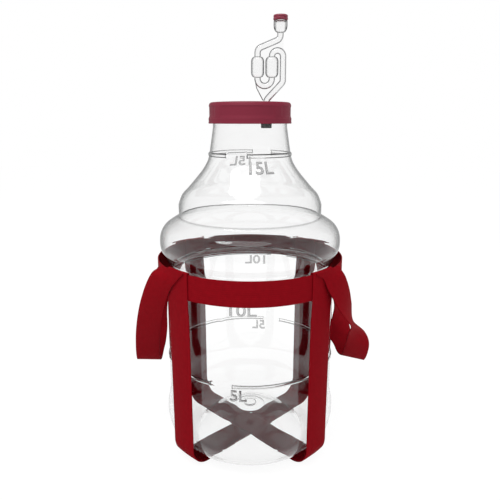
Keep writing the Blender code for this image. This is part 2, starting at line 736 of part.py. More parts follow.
def make_handle(name, side, hanging, collection, material):
    """A handle loop: a loft through its rungs, down from the front strap and up to the back.

    Each rung is stretched so that the webbing keeps its width square to its run, and beside
    the belt the webbing stays outside its seat.
    """
    rungs = HANDLE_ROOT + hanging + mirrored(HANDLE_ROOT)
    inner_edge = smooth_curve([rung_point(inner, side) for inner, outer in rungs],
                              HANDLE_STEPS_PER_RUNG)
    outer_edge = smooth_curve([rung_point(outer, side) for inner, outer in rungs],
                              HANDLE_STEPS_PER_RUNG)
    middles = [(inner + outer) / 2 for inner, outer in zip(inner_edge, outer_edge)]
    places = [from_axis(middle) for middle in middles]
    rows = []
    for i, (inner, outer) in enumerate(zip(inner_edge, outer_edge)):
        run = (places[min(i + 1, len(places) - 1)] - places[max(i - 1, 0)]).normalized()
        across = from_axis(outer) - from_axis(inner)
        square = (across - run * across.dot(run)).length
        share = HANDLE_WIDTH / square
        row = []
        for k in range(HANDLE_COLUMNS + 1):
            point = middles[i] + (outer - inner) * share * (k / HANDLE_COLUMNS - 0.5)
            if point.z > BELT_BOTTOM_Z - HANDLE_REST:
                point.x = max(point.x, HANDLE_SEAT_R)
            row.append(from_axis(point))
        rows.append(row)
    return ribbon(name, rows, collection, material)


def main():
    clear_scene()
    carboy = new_collection("carboy")
    cutters = new_collection("cutters")
    clear_plastic = new_material("clear_plastic", (0.86, 0.88, 0.88), 0.08, alpha=0.35)
    cap_plastic = new_material("burgundy_plastic", (0.22, 0.025, 0.048), 0.38)
    seal_rubber = new_material("seal_rubber", (0.70, 0.70, 0.67), 0.7)
    bung_rubber = new_material("bung_rubber", (0.02, 0.02, 0.02), 0.75)
    lock_plastic = new_material("lock_plastic", (0.90, 0.91, 0.91), 0.06, alpha=0.35)
    red_webbing = new_material("red_webbing", (0.20, 0.006, 0.012), 0.85)

    make_bottle(carboy, clear_plastic)
    make_screw_cap(carboy, cutters, cap_plastic)
    make_seal(carboy, seal_rubber)
    make_bung(carboy, bung_rubber)
    make_airlock(carboy, cutters, lock_plastic)
    make_dust_cap(carboy, cap_plastic)
    make_belt(carboy, red_webbing)
    make_strap("strap_left_front", -STRAP_AZIMUTH, False, carboy, red_webbing)
    make_strap("strap_right_front", STRAP_AZIMUTH, True, carboy, red_webbing)
    make_handle("handle_left", -1.0, LEFT_HANDLE_RUN, carboy, red_webbing)
    make_handle("handle_right", 1.0, RIGHT_HANDLE_RUN, carboy, red_webbing)


main()
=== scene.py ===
"""Looks of a fifteen litre carboy in its webbing carrier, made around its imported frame.

The clear bottle, its cap, its bored bung, the twin-bubble lock and every strip of webbing are
modelled again with finer forms and finishes. Metres, +Z up, and -Y is the front.
"""

import math

import bpy
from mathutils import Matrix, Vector


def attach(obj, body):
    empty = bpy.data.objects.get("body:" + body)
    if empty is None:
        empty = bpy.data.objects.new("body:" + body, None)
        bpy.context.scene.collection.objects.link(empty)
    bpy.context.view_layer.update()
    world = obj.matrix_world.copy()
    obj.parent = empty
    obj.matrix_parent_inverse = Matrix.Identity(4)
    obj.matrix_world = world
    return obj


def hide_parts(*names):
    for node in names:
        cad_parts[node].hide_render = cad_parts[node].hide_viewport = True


bl_info = {
    "name": "Carboy in a Webbing Carrier",
    "version": (1, 0, 0),
    "blender": (4, 5, 0),
    "location": "3D View > Sidebar > Carboy",
    "description": "Dresses a clear carboy, its cap, its fermentation lock and its webbing carrier",
    "category": "Object",
}

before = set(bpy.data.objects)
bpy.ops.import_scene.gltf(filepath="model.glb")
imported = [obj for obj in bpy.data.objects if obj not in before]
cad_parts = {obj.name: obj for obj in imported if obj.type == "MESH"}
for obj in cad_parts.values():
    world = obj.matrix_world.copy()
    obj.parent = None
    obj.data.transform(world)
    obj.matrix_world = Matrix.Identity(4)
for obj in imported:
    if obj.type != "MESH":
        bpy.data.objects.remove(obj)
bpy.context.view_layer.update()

# Gaps between pieces that touch or fit, and the round on small moulded edges
SEAT_GAP = 0.0003
FOLD_GAP = 0.0005
EDGE_ROUND = 0.0003

# Corners of a mesh that are closer than this are one corner
SEAM_GAP = 0.000002

# Webbing
WEB_THICKNESS = 0.0015
BELT_WIDTH = 0.0325
BELT_BOTTOM_Z = 0.2328
BELT_TOP_Z = BELT_BOTTOM_Z + BELT_WIDTH
BELT_SLACK = 0.0024
STRAP_WIDTH = 0.0390
STRAP_FOOT_SLACK = 0.0056
STRAP_WAIST_SLACK = 0.0112
STRAP_WAIST_DROP = 0.0320
STRAP_HEEL_R = 0.0260
STRAP_TAIL = 0.0300
STRAP_AZIMUTH = 45.0
CROSSING_RAMP = 0.0220
HANDLE_WIDTH = 0.0345
HANDLE_REST = 0.0080
HANDLE_UNIT = 0.0010

# Bottle
STAND_Z = WEB_THICKNESS + SEAT_GAP
PUNT_HEIGHT = 0.0345
PUNT_RING_R = 0.0440
PUNT_DISC_R = 0.0200
PUNT_NUB_R = 0.0080
PUNT_STEP = 0.0014
STAND_INNER_R = 0.0770
STAND_OUTER_R = 0.0925
HEEL_HEIGHT = 0.0360
FOOT_BAND_R = 0.1194
FOOT_BAND_TOP_Z = 0.0580
FOOT_BAND_SLOPE = 0.0260
BODY_R = 0.1154
BODY_TOP_Z = 0.2400
WAIST_R = 0.1064
WAIST_Z = 0.2520
BULGE_R = 0.1230
BULGE_Z = 0.2880
GROOVE_R = 0.0966
GROOVE_Z = 0.3212
SHOULDER_R = 0.0968
SHOULDER_Z = 0.3370
CONE_R = 0.0655
CONE_Z = 0.3800
LEVEL_15_R = 0.0542
NECK_R = 0.0490
NECK_FOOT_Z = 0.4420

# Level beads, each broken by a gap in front and one at the back
LEVEL_5_Z = 0.1245
LEVEL_10_Z = 0.2365
LEVEL_15_Z = 0.4035
BEAD_WIDTH = 0.0054
BEAD_RISE = 0.0014
BEAD_MARGIN = 0.0020
BEAD_GAP = 0.0285
BEAD_END = 0.0024
# Radius of the dark rods of painted shade along each bead end
BEAD_END_SHADE_R = 0.0004

# Screw cap, seal and bung
CAP_TOP_Z = 0.4700
CAP_HEIGHT = 0.0270
CAP_OUTER_R = 0.0541
CAP_BAND_HEIGHT = 0.0065
CAP_SKIRT_WALL = 0.0026
CAP_PANEL_RECESS = 0.0020
CAP_PANEL_R = 0.0470
CAP_PLATE = 0.0025
HOLE_X = 0.0216
SEAL_THICKNESS = 0.0022
SEAL_INNER_R = 0.0445
GRIP_PANEL_TURN = 4.0
GRIP_PANEL_HALF_ANGLE = 39.5
GRIP_PANEL_EDGE_ANGLE = 2.5
THREAD_PITCH = 0.0080
THREAD_R = 0.0013
BUNG_TOP_R = 0.0084
BUNG_BOTTOM_R = 0.0066
BUNG_BOTTOM_Z = 0.4370
BUNG_FLANGE_R = 0.0108
BUNG_FLANGE = 0.0014
BUNG_LIP = 0.0007

# Twin-bubble lock, heights above the panel of the cap
STEM_R = 0.0038
STEM_DEPTH = 0.0260
TUBE_R = 0.0041
BEND_R = 0.0070
STEM_BEND_Z = 0.0055
RISER_X = 0.0210
RISER_BEND_Z = 0.0278
ARCH_Z = 0.0597
BUBBLE_R = 0.0085
BUBBLE_LENGTH = 0.0258
BUBBLE_SHOULDER = 0.0062
RIGHT_BUBBLE_X = 0.0067
LEFT_BUBBLE_X = -0.0118
BUBBLE_BOTTOM_Z = 0.0335
UBEND_DROP = 0.0014
CROSS_BEND_Z = 0.0690
CUP_X = 0.0173
CUP_BEND_Z = 0.0810
CUP_BOTTOM_Z = 0.0888
CUP_R = 0.0089
CUP_HEIGHT = 0.0142
RIM_R = 0.0079
RIM_HEIGHT = 0.0048
WEB_EDGE_R = 0.0006
WEB_LOW_X = -0.0045
WEB_LOW_Z = 0.0045
DUST_CAP_R = 0.0093
DUST_CAP_HEIGHT = 0.0066
DUST_CAP_PLATE = 0.0012

# Handles: rungs across the webbing, from its inner to its outer edge. A point is its distance
# outside the seat on the strap, its azimuth from the front and its drop below the belt's top,
# in handle units and degrees.
HANDLE_ROOT = [
    ((0.0, 36.5, -2.2), (0.0, 61.0, -1.6)),
    ((0.0, 42.5, 6.0), (3.5, 60.0, 2.0)),
]
LEFT_HANDLE_RUN = [
    ((0.6, 47.5, 17.0), (12.0, 61.5, 9.0)),
    ((0.6, 52.5, 31.5), (17.6, 65.0, 25.5)),
    ((0.6, 58.0, 50.0), (22.0, 69.0, 47.5)),
    ((0.4, 65.5, 75.5), (25.8, 74.5, 76.0)),
    ((0.3, 76.5, 114.5), (30.6, 82.0, 115.5)),
    ((0.5, 90.0, 159.5), (35.0, 90.0, 158.8)),
    ((-1.0, 97.5, 146.0), (31.9, 94.0, 147.0)),
    ((-1.0, 101.5, 135.5), (31.0, 98.0, 135.5)),
    ((3.5, 107.0, 123.0), (31.0, 101.5, 121.4)),
    ((11.0, 112.0, 106.0), (33.0, 105.0, 103.2)),
    ((15.5, 117.0, 87.5), (34.5, 108.5, 81.5)),
    ((15.0, 122.5, 64.0), (31.5, 112.0, 55.0)),
    ((8.0, 129.5, 36.0), (19.0, 116.5, 27.5)),
]
RIGHT_HANDLE_RUN = [
    ((2.2, 46.5, 19.0), (8.4, 60.0, 11.0)),
    ((6.0, 50.0, 34.0), (11.6, 64.0, 31.0)),
    ((10.5, 54.0, 49.5), (12.6, 68.0, 52.0)),
    ((15.0, 59.0, 64.5), (13.0, 72.0, 71.5)),
    ((18.8, 64.8, 80.0), (16.0, 75.5, 87.0)),
    ((18.0, 71.0, 98.0), (28.0, 80.0, 106.5)),
    ((7.5, 79.0, 124.5), (38.0, 83.5, 132.0)),
    ((1.0, 90.0, 152.0), (38.5, 90.0, 160.8)),
    ((-3.5, 98.0, 142.5), (33.0, 94.0, 151.0)),
    ((-4.2, 104.0, 130.0), (25.5, 101.0, 137.0)),
    ((4.5, 107.8, 112.0), (29.5, 112.0, 117.5)),
    ((11.0, 111.5, 92.0), (34.5, 117.5, 95.0)),
    ((12.0, 118.0, 69.0), (32.0, 118.5, 70.0)),
    ((4.0, 127.0, 35.0), (17.3, 114.8, 40.0)),
]

# Heights and radii that follow from the values above
BELT_INNER_R = max(BULGE_R, BODY_R + BEAD_RISE) + BELT_SLACK
BELT_OUTER_R = BELT_INNER_R + WEB_THICKNESS
CROSSING_END = STRAP_WIDTH / 2 + CROSSING_RAMP
CROSSING_RISE = CROSSING_RAMP * 0.9
STRAP_FOOT_R = max(FOOT_BAND_R, BODY_R) + STRAP_FOOT_SLACK
STRAP_WAIST_R = BODY_R + STRAP_WAIST_SLACK
STRAP_BELT_R = BELT_OUTER_R + SEAT_GAP + WEB_THICKNESS / 2
STRAP_TAIL_R = BELT_INNER_R - FOLD_GAP - WEB_THICKNESS / 2
HANDLE_SEAT_R = STRAP_BELT_R + WEB_THICKNESS + SEAT_GAP
CAP_BOTTOM_Z = CAP_TOP_Z - CAP_HEIGHT
PANEL_Z = CAP_TOP_Z - CAP_PANEL_RECESS
PLATE_UNDER_Z = PANEL_Z - CAP_PLATE
LIP_Z = PLATE_UNDER_Z - 2 * SEAT_GAP - SEAL_THICKNESS
CAP_INNER_R = CAP_OUTER_R - CAP_SKIRT_WALL
CUP_TOP_Z = PANEL_Z + CUP_BOTTOM_Z + CUP_HEIGHT
RIM_TOP_Z = CUP_TOP_Z + RIM_HEIGHT

# A bead's height, the radius that it stands on and the azimuth of its gap in front
BEADS = (
    (LEVEL_15_Z, LEVEL_15_R, -18.8),
    (LEVEL_10_Z, BODY_R, -24.0),
    (LEVEL_5_Z, BODY_R, -18.0),
)

# A moulded number: its name, its text, its height, its width, its left end and its foot
MARKS = (
    ("mark_15", "15L", 0.0150, 0.0300, -0.0010, 0.3820),
    ("mark_10", "10L", 0.0145, 0.0330, -0.0250, 0.2175),
    ("mark_5", "5L", 0.0150, 0.0210, -0.0250, 0.1050),
)
MARK_SINK = 0.0004
MARK_DEPTH = 0.0013
# Painted shade on the moulded numbers: light on their faces, dark on their sides
MARK_FACE_SHADE = 0.1
MARK_SIDE_SHADE = 0.7

# Looks: painted shade lines in clear plastic, and the floor's glow
LINE_SHADE_COLOUR = (0.02, 0.02, 0.02, 1.0)
FLOOR_GLOW = 1.06
FLOOR_GLOW_SHARE = 0.88

# The photograph's camera
CAMERA_PLACE = (0.0, -0.6892, 0.4477)
CAMERA_PITCH = 12.22
CAMERA_LENS = 36.706
CAMERA_SHIFT = -0.0394


def length_setting(name, description, default, least=0.0):
    """A setting in metres."""
    return bpy.props.FloatProperty(name=name, description=description, default=default,
                                   min=least, unit="LENGTH", precision=4)


def count_setting(name, description, default, least):
    """A setting that counts facets or faces."""
    return bpy.props.IntProperty(name=name, description=description, default=default, min=least)


def level_setting(name, description, default):
    """A setting for the strength of a light."""
    return bpy.props.FloatProperty(name=name, description=description, default=default, min=0.0)


def colour_setting(name, description, red, green, blue):
    """A setting for a linear colour."""
    return bpy.props.FloatVectorProperty(
        name=name, description=description, default=(red, green, blue, 1.0), subtype="COLOR",
        size=4, min=0.0, max=1.0)


class BottleSettings(bpy.types.PropertyGroup):
    """Sizes and colours of the clear bottle."""

    wall: length_setting("Wall", "Thickness of the blown wall", 0.0014, 0.0004)
    bead_rise: length_setting("Bead Rise", "How far the level beads stand proud", BEAD_RISE)
    steps: count_setting("Steps", "Facets round the bottle", 288, 48)
    colour: colour_setting("Colour", "Tint of the clear plastic seen square on",
                           0.992, 0.993, 0.993)
    # Painted shade: the colour that stands in for the dark reflections where the wall is seen
    # edge-on
    painted_edge_shade: colour_setting("Edge Colour", "Tint of the clear plastic seen along its wall",
                                0.30, 0.31, 0.31)


class ClosureSettings(bpy.types.PropertyGroup):
    """Sizes and colours of the screw cap, the seal and the bung."""

    panel_depth: length_setting("Panel Depth", "Depth of the grip panels round the cap", 0.0006)
    steps: count_setting("Steps", "Facets round the cap", 216, 48)
    colour: colour_setting("Cap Colour", "Colour of the moulded cap", 0.215, 0.0175, 0.040)
    bung_colour: colour_setting("Bung Colour", "Colour of the bung's rubber", 0.15, 0.15, 0.147)
    seal_colour: colour_setting("Seal Colour", "Colour of the sealing ring", 0.66, 0.66, 0.63)


class LockSettings(bpy.types.PropertyGroup):
    """Sizes and colours of the twin-bubble lock and its dust cap."""

    wall: length_setting("Wall", "Wall of the lock's tubes", 0.0010, 0.0003)
    web_sheet: length_setting("Web", "Thickness of the sheet between the tubes", 0.0012)
    colour: colour_setting("Lock Colour", "Tint of the lock's clear plastic", 0.985, 0.985, 0.985)
    # Painted shade: the colour that stands in for the dark reflections where the tubes are seen
    # edge-on
    painted_edge_shade: colour_setting("Edge Colour", "Tint of the lock seen along its wall",
                                0.2, 0.205, 0.205)
    dust_cap_colour: colour_setting("Dust Cap Colour", "Colour of the dust cap",
                                    0.25, 0.040, 0.068)


class WebbingSettings(bpy.types.PropertyGroup):
    """Sizes and colours of the belt, the straps and the handles."""

    thickness: length_setting("Thickness", "Thickness of the webbing", WEB_THICKNESS)
    edge: length_setting("Selvedge", "Rounding of the woven edges", 0.0005)
    columns: count_setting("Columns", "Faces across the webbing", 10, 2)
    colour: colour_setting("Colour", "Colour of the red yarn", 0.262, 0.0038, 0.0090)


class StageSettings(bpy.types.PropertyGroup):
    """The floor and the light."""

    floor_size: length_setting("Floor", "Side of the floor", 8.0)
    key_power: level_setting("Key", "Power of the main light", 4.0)
    fill: level_setting("Fill", "Level of the light from all around", 0.62)


def to_object_mode():
    """Leave edit mode and deselect everything."""
    if bpy.context.mode != "OBJECT":
        bpy.ops.object.mode_set(mode="OBJECT")
    bpy.ops.object.select_all(action="DESELECT")


def work_on(obj):
    """Make one object the only selected and the active one."""
    to_object_mode()
    obj.select_set(True)
    bpy.context.view_layer.objects.active = obj


def name_piece(name):
    """Give the object just added its name, and return it."""
    obj = bpy.context.active_object
    obj.name = name
    obj.data.name = name
    return obj


def edit_all():
    """Enter edit mode with everything selected."""
    bpy.ops.object.mode_set(mode="EDIT")
    bpy.ops.mesh.select_all(action="SELECT")


def close_seams(obj, distance=SEAM_GAP):
    """Merge an object's doubled corners and turn its faces outward."""
    work_on(obj)
    edit_all()
    bpy.ops.mesh.remove_doubles(threshold=distance)
    bpy.ops.mesh.normals_make_consistent(inside=False)
    to_object_mode()


def apply_modifier(obj, name, kind, **values):
    """Add a modifier with these values and apply it."""
    work_on(obj)
    modifier = obj.modifiers.new(name, kind)
    for key, value in values.items():
        setattr(modifier, key, value)
    bpy.ops.object.modifier_apply(modifier=modifier.name)


def draw_chain(name, points):
    """Draw a chain of edges in edit mode, by extruding one vertex from point to point."""
    to_object_mode()
    bpy.ops.mesh.primitive_plane_add(size=0.001, location=(0.0, 0.0, 0.0))
    chain = name_piece(name)
    edit_all()
    bpy.ops.mesh.merge(type="CENTER")
    bpy.ops.transform.translate(value=points[0])
    for before, after in zip(points, points[1:]):
        bpy.ops.mesh.extrude_vertices_move(TRANSFORM_OT_translate={"value": after - before})
    return chain


def spin_profile(name, profile, steps, x=0.0, closed=False):
    """Spin a profile of (radius, height) points round an upright axis at x."""
    points = [Vector((x + radius, 0.0, height)) for radius, height in profile]
    if closed:
        points.append(points[0])
    obj = draw_chain(name, points)
    edit_all()
    bpy.ops.mesh.spin(steps=steps, angle=math.tau, center=(x, 0.0, 0.0), axis=(0.0, 0.0, 1.0))
    close_seams(obj)
    return obj


def sweep(name, points, radii, resolution):
    """A round tube through the points, with its own radius at each, as a closed mesh."""
    to_object_mode()
    bpy.ops.curve.primitive_nurbs_path_add(location=(0.0, 0.0, 0.0))
    tube = name_piece(name)
    curve = tube.data
    curve.splines.clear()
    spline = curve.splines.new("POLY")
    spline.points.add(len(points) - 1)
    thickest = max(radii)
    for target, point, radius in zip(spline.points, points, radii):
        target.co = (*point, 1.0)
        target.radius = radius / thickest
    curve.bevel_depth = thickest
    curve.bevel_resolution = resolution
    curve.use_fill_caps = True
    bpy.ops.object.convert(target="MESH")
    close_seams(tube)
    return tube


def smooth(obj, degrees):
    """Shade an object smooth, apart from edges sharper than the angle."""
    work_on(obj)
    bpy.ops.object.shade_smooth_by_angle(angle=math.radians(degrees))


def join_into(obj, *others):
    """Join other objects into this one."""
    work_on(obj)
    for other in others:
        other.select_set(True)
    bpy.ops.object.join()


def finish_piece(obj, material, body, slot, *nodes):
    """Give a piece its material and its body, and hide the nodes that it stands for. The slot is
    not used.
    """
    obj.data.materials.clear()
    obj.data.materials.append(material)
    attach(obj, body)
    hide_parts(*nodes)


def smooth_curve(points, per_span):
    """Points on a curve that passes through all the given points (Catmull-Rom)."""
    points = [Vector(point) for point in points]
    ends = [points[0] * 2 - points[1]] + points + [points[-1] * 2 - points[-2]]
    curve = []
    for i in range(1, len(ends) - 2):
        before, start, end, after = ends[i - 1], ends[i], ends[i + 1], ends[i + 2]
        for step in range(per_span):
            t = step / per_span
            curve.append(0.5 * (2 * start + (end - before) * t
                                + (2 * before - 5 * start + 4 * end - after) * t ** 2
                                + (3 * start - before - 3 * end + after) * t ** 3))
    curve.append(points[-1])
    return curve


def ease(t):
    """Smooth step from 0 to 1."""
    t = min(max(t, 0.0), 1.0)
    return t * t * (3.0 - 2.0 * t)


def round_axis(radius, turn, height):
    """A place round the upright axis, turned from the front by an angle in radians."""
    return Vector((radius * math.sin(turn), -radius * math.cos(turn), height))


def scale_from_axis(vertex, factor):
    """Move a vertex straight toward the upright axis or away from it."""
    vertex.co.x *= factor
    vertex.co.y *= factor


def arc(middle_x, middle_z, radius, start, end, count):
    """Points on an arc in the XZ plane, from one angle to another in degrees."""
    points = []
    for step in range(count):
        angle = math.radians(start + (end - start) * step / (count - 1))
        points.append(Vector((middle_x + radius * math.cos(angle), 0.0,
                              middle_z + radius * math.sin(angle))))
    return points


def rounded_path(corners, radius, count):
    """A path through the corners in the XZ plane, with each inner corner rounded."""
    corners = [Vector((x, 0.0, z)) for x, z in corners]
    path = [corners[0]]
    for before, corner, after in zip(corners, corners[1:], corners[2:]):
        back = (before - corner).normalized()
        ahead = (after - corner).normalized()
        half_angle = back.angle(ahead) / 2
        middle = corner + (back + ahead).normalized() * radius / math.sin(half_angle)
        reach = radius / math.tan(half_angle)
        start = corner + back * reach - middle
        end = corner + ahead * reach - middle
        swing = start.angle(end)
        for step in range(count):
            t = step / (count - 1)
            path.append(middle + (start * math.sin((1 - t) * swing) + end * math.sin(t * swing))
                        / math.sin(swing))
    path.append(corners[-1])
    return path


def new_material(name):
    """A material, its node tree and its Principled BSDF."""
    material = bpy.data.materials.new(name)
    material.use_nodes = True
    return material, material.node_tree, material.node_tree.nodes["Principled BSDF"]


def feed(tree, node, inputs):
    """Give a node's inputs, by name or number, plain values or other nodes' outputs."""
    for key, value in inputs.items():
        if isinstance(value, bpy.types.NodeSocket):
            tree.links.new(value, node.inputs[key])
        else:
            node.inputs[key].default_value = value


def add_node(tree, kind, inputs, **properties):
    """Add a node, set its properties and feed its inputs."""
    node = tree.nodes.new(kind)
    for key, value in properties.items():
        setattr(node, key, value)
    feed(tree, node, inputs)
    return node


def math_node(tree, operation, *values):
    """The result of a Math node on some values, plain or from other nodes."""
    node = add_node(tree, "ShaderNodeMath", dict(enumerate(values)), operation=operation)
    return node.outputs[0]


def new_group(name, inputs, outputs):
    """A shader node group with float, colour or vector sockets."""
    group = bpy.data.node_groups.new(name, "ShaderNodeTree")
    for in_out, sockets in (("INPUT", inputs), ("OUTPUT", outputs)):
        for label, kind, default in sockets:
            socket = group.interface.new_socket(name=label, in_out=in_out, socket_type=kind)
            if default is not None:
                socket.default_value = default
    return group, group.nodes.new("NodeGroupInput"), group.nodes.new("NodeGroupOutput")


def moulded_grain_group():
    """Fine mottling of a moulded surface: a colour and a height that vary over the piece."""
    tree, source, result = new_group(
        "Moulded Grain",
        [("Colour", "NodeSocketColor", (0.5, 0.5, 0.5, 1.0)), ("Mottle", "NodeSocketFloat", 0.06),
         ("Scale", "NodeSocketFloat", 900.0)],
        [("Colour", "NodeSocketColor", None), ("Height", "NodeSocketFloat", None)])
    place = tree.nodes.new("ShaderNodeTexCoord").outputs["Object"]
    broad = add_node(tree, "ShaderNodeTexNoise", {"Vector": place, "Scale": 38.0, "Detail": 3.0})
    fine = add_node(tree, "ShaderNodeTexNoise",
                    {"Vector": place, "Scale": source.outputs["Scale"], "Detail": 2.0})
    swing = math_node(tree, "SUBTRACT", broad.outputs["Fac"], 0.5)
    swing = math_node(tree, "MULTIPLY", swing, source.outputs["Mottle"])
    shade = add_node(tree, "ShaderNodeHueSaturation",
                     {"Value": math_node(tree, "ADD", swing, 1.0),
                      "Color": source.outputs["Colour"]})
    feed(tree, result, {"Colour": shade.outputs["Color"], "Height": fine.outputs["Fac"]})
    return tree


def weave_group():
    """Herringbone webbing on a UV map in metres: its colour and its height."""
    tree, source, result = new_group(
        "Webbing Weave",
        [("Colour", "NodeSocketColor", (0.5, 0.0, 0.0, 1.0)), ("Rib", "NodeSocketFloat", 0.0026),
         ("Pick", "NodeSocketFloat", 0.0013), ("Contrast", "NodeSocketFloat", 0.3)],
        [("Colour", "NodeSocketColor", None), ("Height", "NodeSocketFloat", None)])
    place = tree.nodes.new("ShaderNodeUVMap").outputs["UV"]
    split = add_node(tree, "ShaderNodeSeparateXYZ", {0: place})
    rib = math_node(tree, "DIVIDE", split.outputs["X"], source.outputs["Rib"])
    pick = math_node(tree, "DIVIDE", split.outputs["Y"], source.outputs["Pick"])
    slanted = math_node(tree, "ADD", pick, math_node(tree, "PINGPONG", rib, 1.0))
    yarn = math_node(tree, "SINE", math_node(tree, "MULTIPLY", slanted, math.tau))
    groove = math_node(tree, "SINE", math_node(tree, "MULTIPLY", rib, math.pi))
    groove = math_node(tree, "POWER", math_node(tree, "ABSOLUTE", groove), 0.5)
    height = math_node(tree, "MULTIPLY", math_node(tree, "MULTIPLY_ADD", yarn, 0.5, 0.5), groove)
    fuzz = add_node(tree, "ShaderNodeTexNoise", {"Vector": place, "Scale": 160.0, "Detail": 4.0})
    uneven = math_node(tree, "SUBTRACT", fuzz.outputs["Fac"], 0.5)
    uneven = math_node(tree, "MULTIPLY", uneven, 0.35)
    shade = math_node(tree, "MULTIPLY", math_node(tree, "SUBTRACT", height, 0.5),
                      source.outputs["Contrast"])
    value = math_node(tree, "ADD", math_node(tree, "ADD", shade, uneven), 1.0)
    tone = add_node(tree, "ShaderNodeHueSaturation",
                    {"Value": value, "Color": source.outputs["Colour"]})
    feed(tree, result, {"Colour": tone.outputs["Color"], "Height": height})
    return tree


def seen_level(tree, straight, mirrored_level, bounced, fill):
    """The brightness that a ray finds behind the object, by the way it came.

    Straight is for what is seen directly or through clear plastic, mirrored for what is seen in
    a reflection, bounced for light that reached cloth through plastic, and fill for the rest.
    """
    path = tree.nodes.new("ShaderNodeLightPath")
    ahead = math_node(tree, "MAXIMUM", path.outputs["Is Camera Ray"],
                      path.outputs["Is Transmission Ray"])
    diffuse = math_node(tree, "MINIMUM", path.outputs["Diffuse Depth"], 1.0)
    glossy = math_node(tree, "MINIMUM", path.outputs["Glossy Depth"], 1.0)
    unbounced = math_node(tree, "SUBTRACT", 1.0, diffuse)
    clear = math_node(tree, "MULTIPLY", ahead, unbounced)
    either = math_node(tree, "MAXIMUM", path.outputs["Is Glossy Ray"], clear)
    shiny = math_node(tree, "MULTIPLY", math_node(tree, "MULTIPLY", either, glossy), unbounced)
    plain = math_node(tree, "MULTIPLY", clear, math_node(tree, "SUBTRACT", 1.0, glossy))
    through = math_node(tree, "MULTIPLY", path.outputs["Is Transmission Ray"], diffuse)
    level = fill
    for share, value in ((plain, straight), (shiny, mirrored_level), (through, bounced)):
        level = math_node(tree, "ADD", math_node(tree, "MULTIPLY", share, value - fill), level)
    return level


def height_share(tree, low, high):
    """A value that rises from 0 to 1 between two heights of the piece."""
    place = tree.nodes.new("ShaderNodeTexCoord")
    split = add_node(tree, "ShaderNodeSeparateXYZ", {0: place.outputs["Object"]})
    share = add_node(tree, "ShaderNodeMapRange",
                     {"Value": split.outputs["Z"], "From Min": low, "From Max": high})
    return share.outputs["Result"]


def mix_surface(tree, share, first, second):
    """Show a mix of two shaders as the material's surface."""
    mix = add_node(tree, "ShaderNodeMixShader",
                   {"Fac": share, 1: first.outputs[0], 2: second.outputs[0]})
    feed(tree, tree.nodes["Material Output"], {"Surface": mix.outputs["Shader"]})


def clear_plastic(name, colour, painted_edge_shade, edge_shade_span, edge_shade_heights):
    """Clear plastic with painted shade along its wall and painted dark lines on its mesh.

    The painted shade stands in for the dark reflections where the wall is seen edge-on. The span
    is how far from square on it starts and ends. It grows between two heights, from nothing to
    full. Shadow light passes through.
    """
    material, tree, shader = new_material(name)
    # Painted shade toward the edge colour where the wall is seen edge-on, faded out by height
    facing = add_node(tree, "ShaderNodeLayerWeight", {"Blend": 0.5})
    edge_shade_share = math_node(tree, "MULTIPLY", facing.outputs["Facing"],
                           height_share(tree, *edge_shade_heights))
    edge_shade_ramp = add_node(tree, "ShaderNodeValToRGB", {"Fac": edge_shade_share})
    edge_shade_ramp.color_ramp.interpolation = "EASE"
    for stop, place, shade in zip(edge_shade_ramp.color_ramp.elements, edge_shade_span, (colour, painted_edge_shade)):
        stop.position = place
        stop.color = shade
    # Painted shade: vertices that carry line shade turn toward a near-black colour, in place of the
    # dark refraction at flanks, creases and mark sides
    line = add_node(tree, "ShaderNodeAttribute", {}, attribute_name="painted_line_shade")
    line_shade_mix = add_node(tree, "ShaderNodeMix",
                   {"Factor": line.outputs["Fac"], "A": edge_shade_ramp.outputs["Color"],
                    "B": LINE_SHADE_COLOUR}, data_type="RGBA")
    feed(tree, shader, {"Base Color": line_shade_mix.outputs["Result"], "Roughness": 0.02, "IOR": 1.46,
                        "Transmission Weight": 1.0})
    path = tree.nodes.new("ShaderNodeLightPath")
    see_through = add_node(tree, "ShaderNodeBsdfTransparent", {"Color": (0.5, 0.5, 0.5, 1.0)})
    mix_surface(tree, path.outputs["Is Shadow Ray"], shader, see_through)
    return material


def colour_by_group(tree, shader, group, inputs, strength, distance):
    """Colour a surface by a node group, and let the group's height stand out as a bump."""
    grain = add_node(tree, "ShaderNodeGroup", inputs, node_tree=group)
    relief = add_node(tree, "ShaderNodeBump", {"Height": grain.outputs["Height"],
                                               "Strength": strength, "Distance": distance})
    feed(tree, shader, {"Base Color": grain.outputs["Colour"],
                        "Normal": relief.outputs["Normal"]})


def moulded(name, colour, mottle, scale, roughness, shine, bump, glow_through=0.0):
    """A moulded plastic or rubber surface with a fine grain, and light that passes thin walls."""
    material, tree, shader = new_material(name)
    colour_by_group(tree, shader,
                    bpy.data.node_groups.get("Moulded Grain") or moulded_grain_group(),
                    {"Colour": colour, "Mottle": mottle, "Scale": scale}, bump, 0.0001)
    feed(tree, shader, {"Roughness": roughness, "Specular IOR Level": shine,
                        "Subsurface Weight": glow_through,
                        "Subsurface Radius": (1.0, 0.5, 0.5), "Subsurface Scale": 0.004})
    return material


def webbing_material(colour):
    """Red woven webbing, shared by every strip."""
    material = bpy.data.materials.get("red_webbing")
    if material:
        return material
    material, tree, shader = new_material("red_webbing")
    colour_by_group(tree, shader, weave_group(), {"Colour": colour}, 0.5, 0.0002)
    feed(tree, shader, {"Roughness": 0.6, "Specular IOR Level": 0.02})
    return material


def bead(radius_below, radius_above, height, rise):
    """Profile points over a rounded level bead, from its upper to its lower edge."""
    points = []
    for step in range(9):
        turn = math.pi * step / 8
        radius = radius_above + (radius_below - radius_above) * step / 8 + rise * math.sin(turn)
        points.append((radius, height + BEAD_WIDTH / 2 * math.cos(turn)))
    return points


def punt_height(radius):
    """Height of the dome that the base is pushed up into."""
    return STAND_Z + PUNT_HEIGHT * (1.0 - (radius / STAND_INNER_R) ** 2.1)


def curve_profile(points, per_span):
    """A smooth stretch of a profile through (radius, height) points."""
    return [(point.x, point.z) for point in
            smooth_curve([(radius, 0.0, height) for radius, height in points], per_span)]


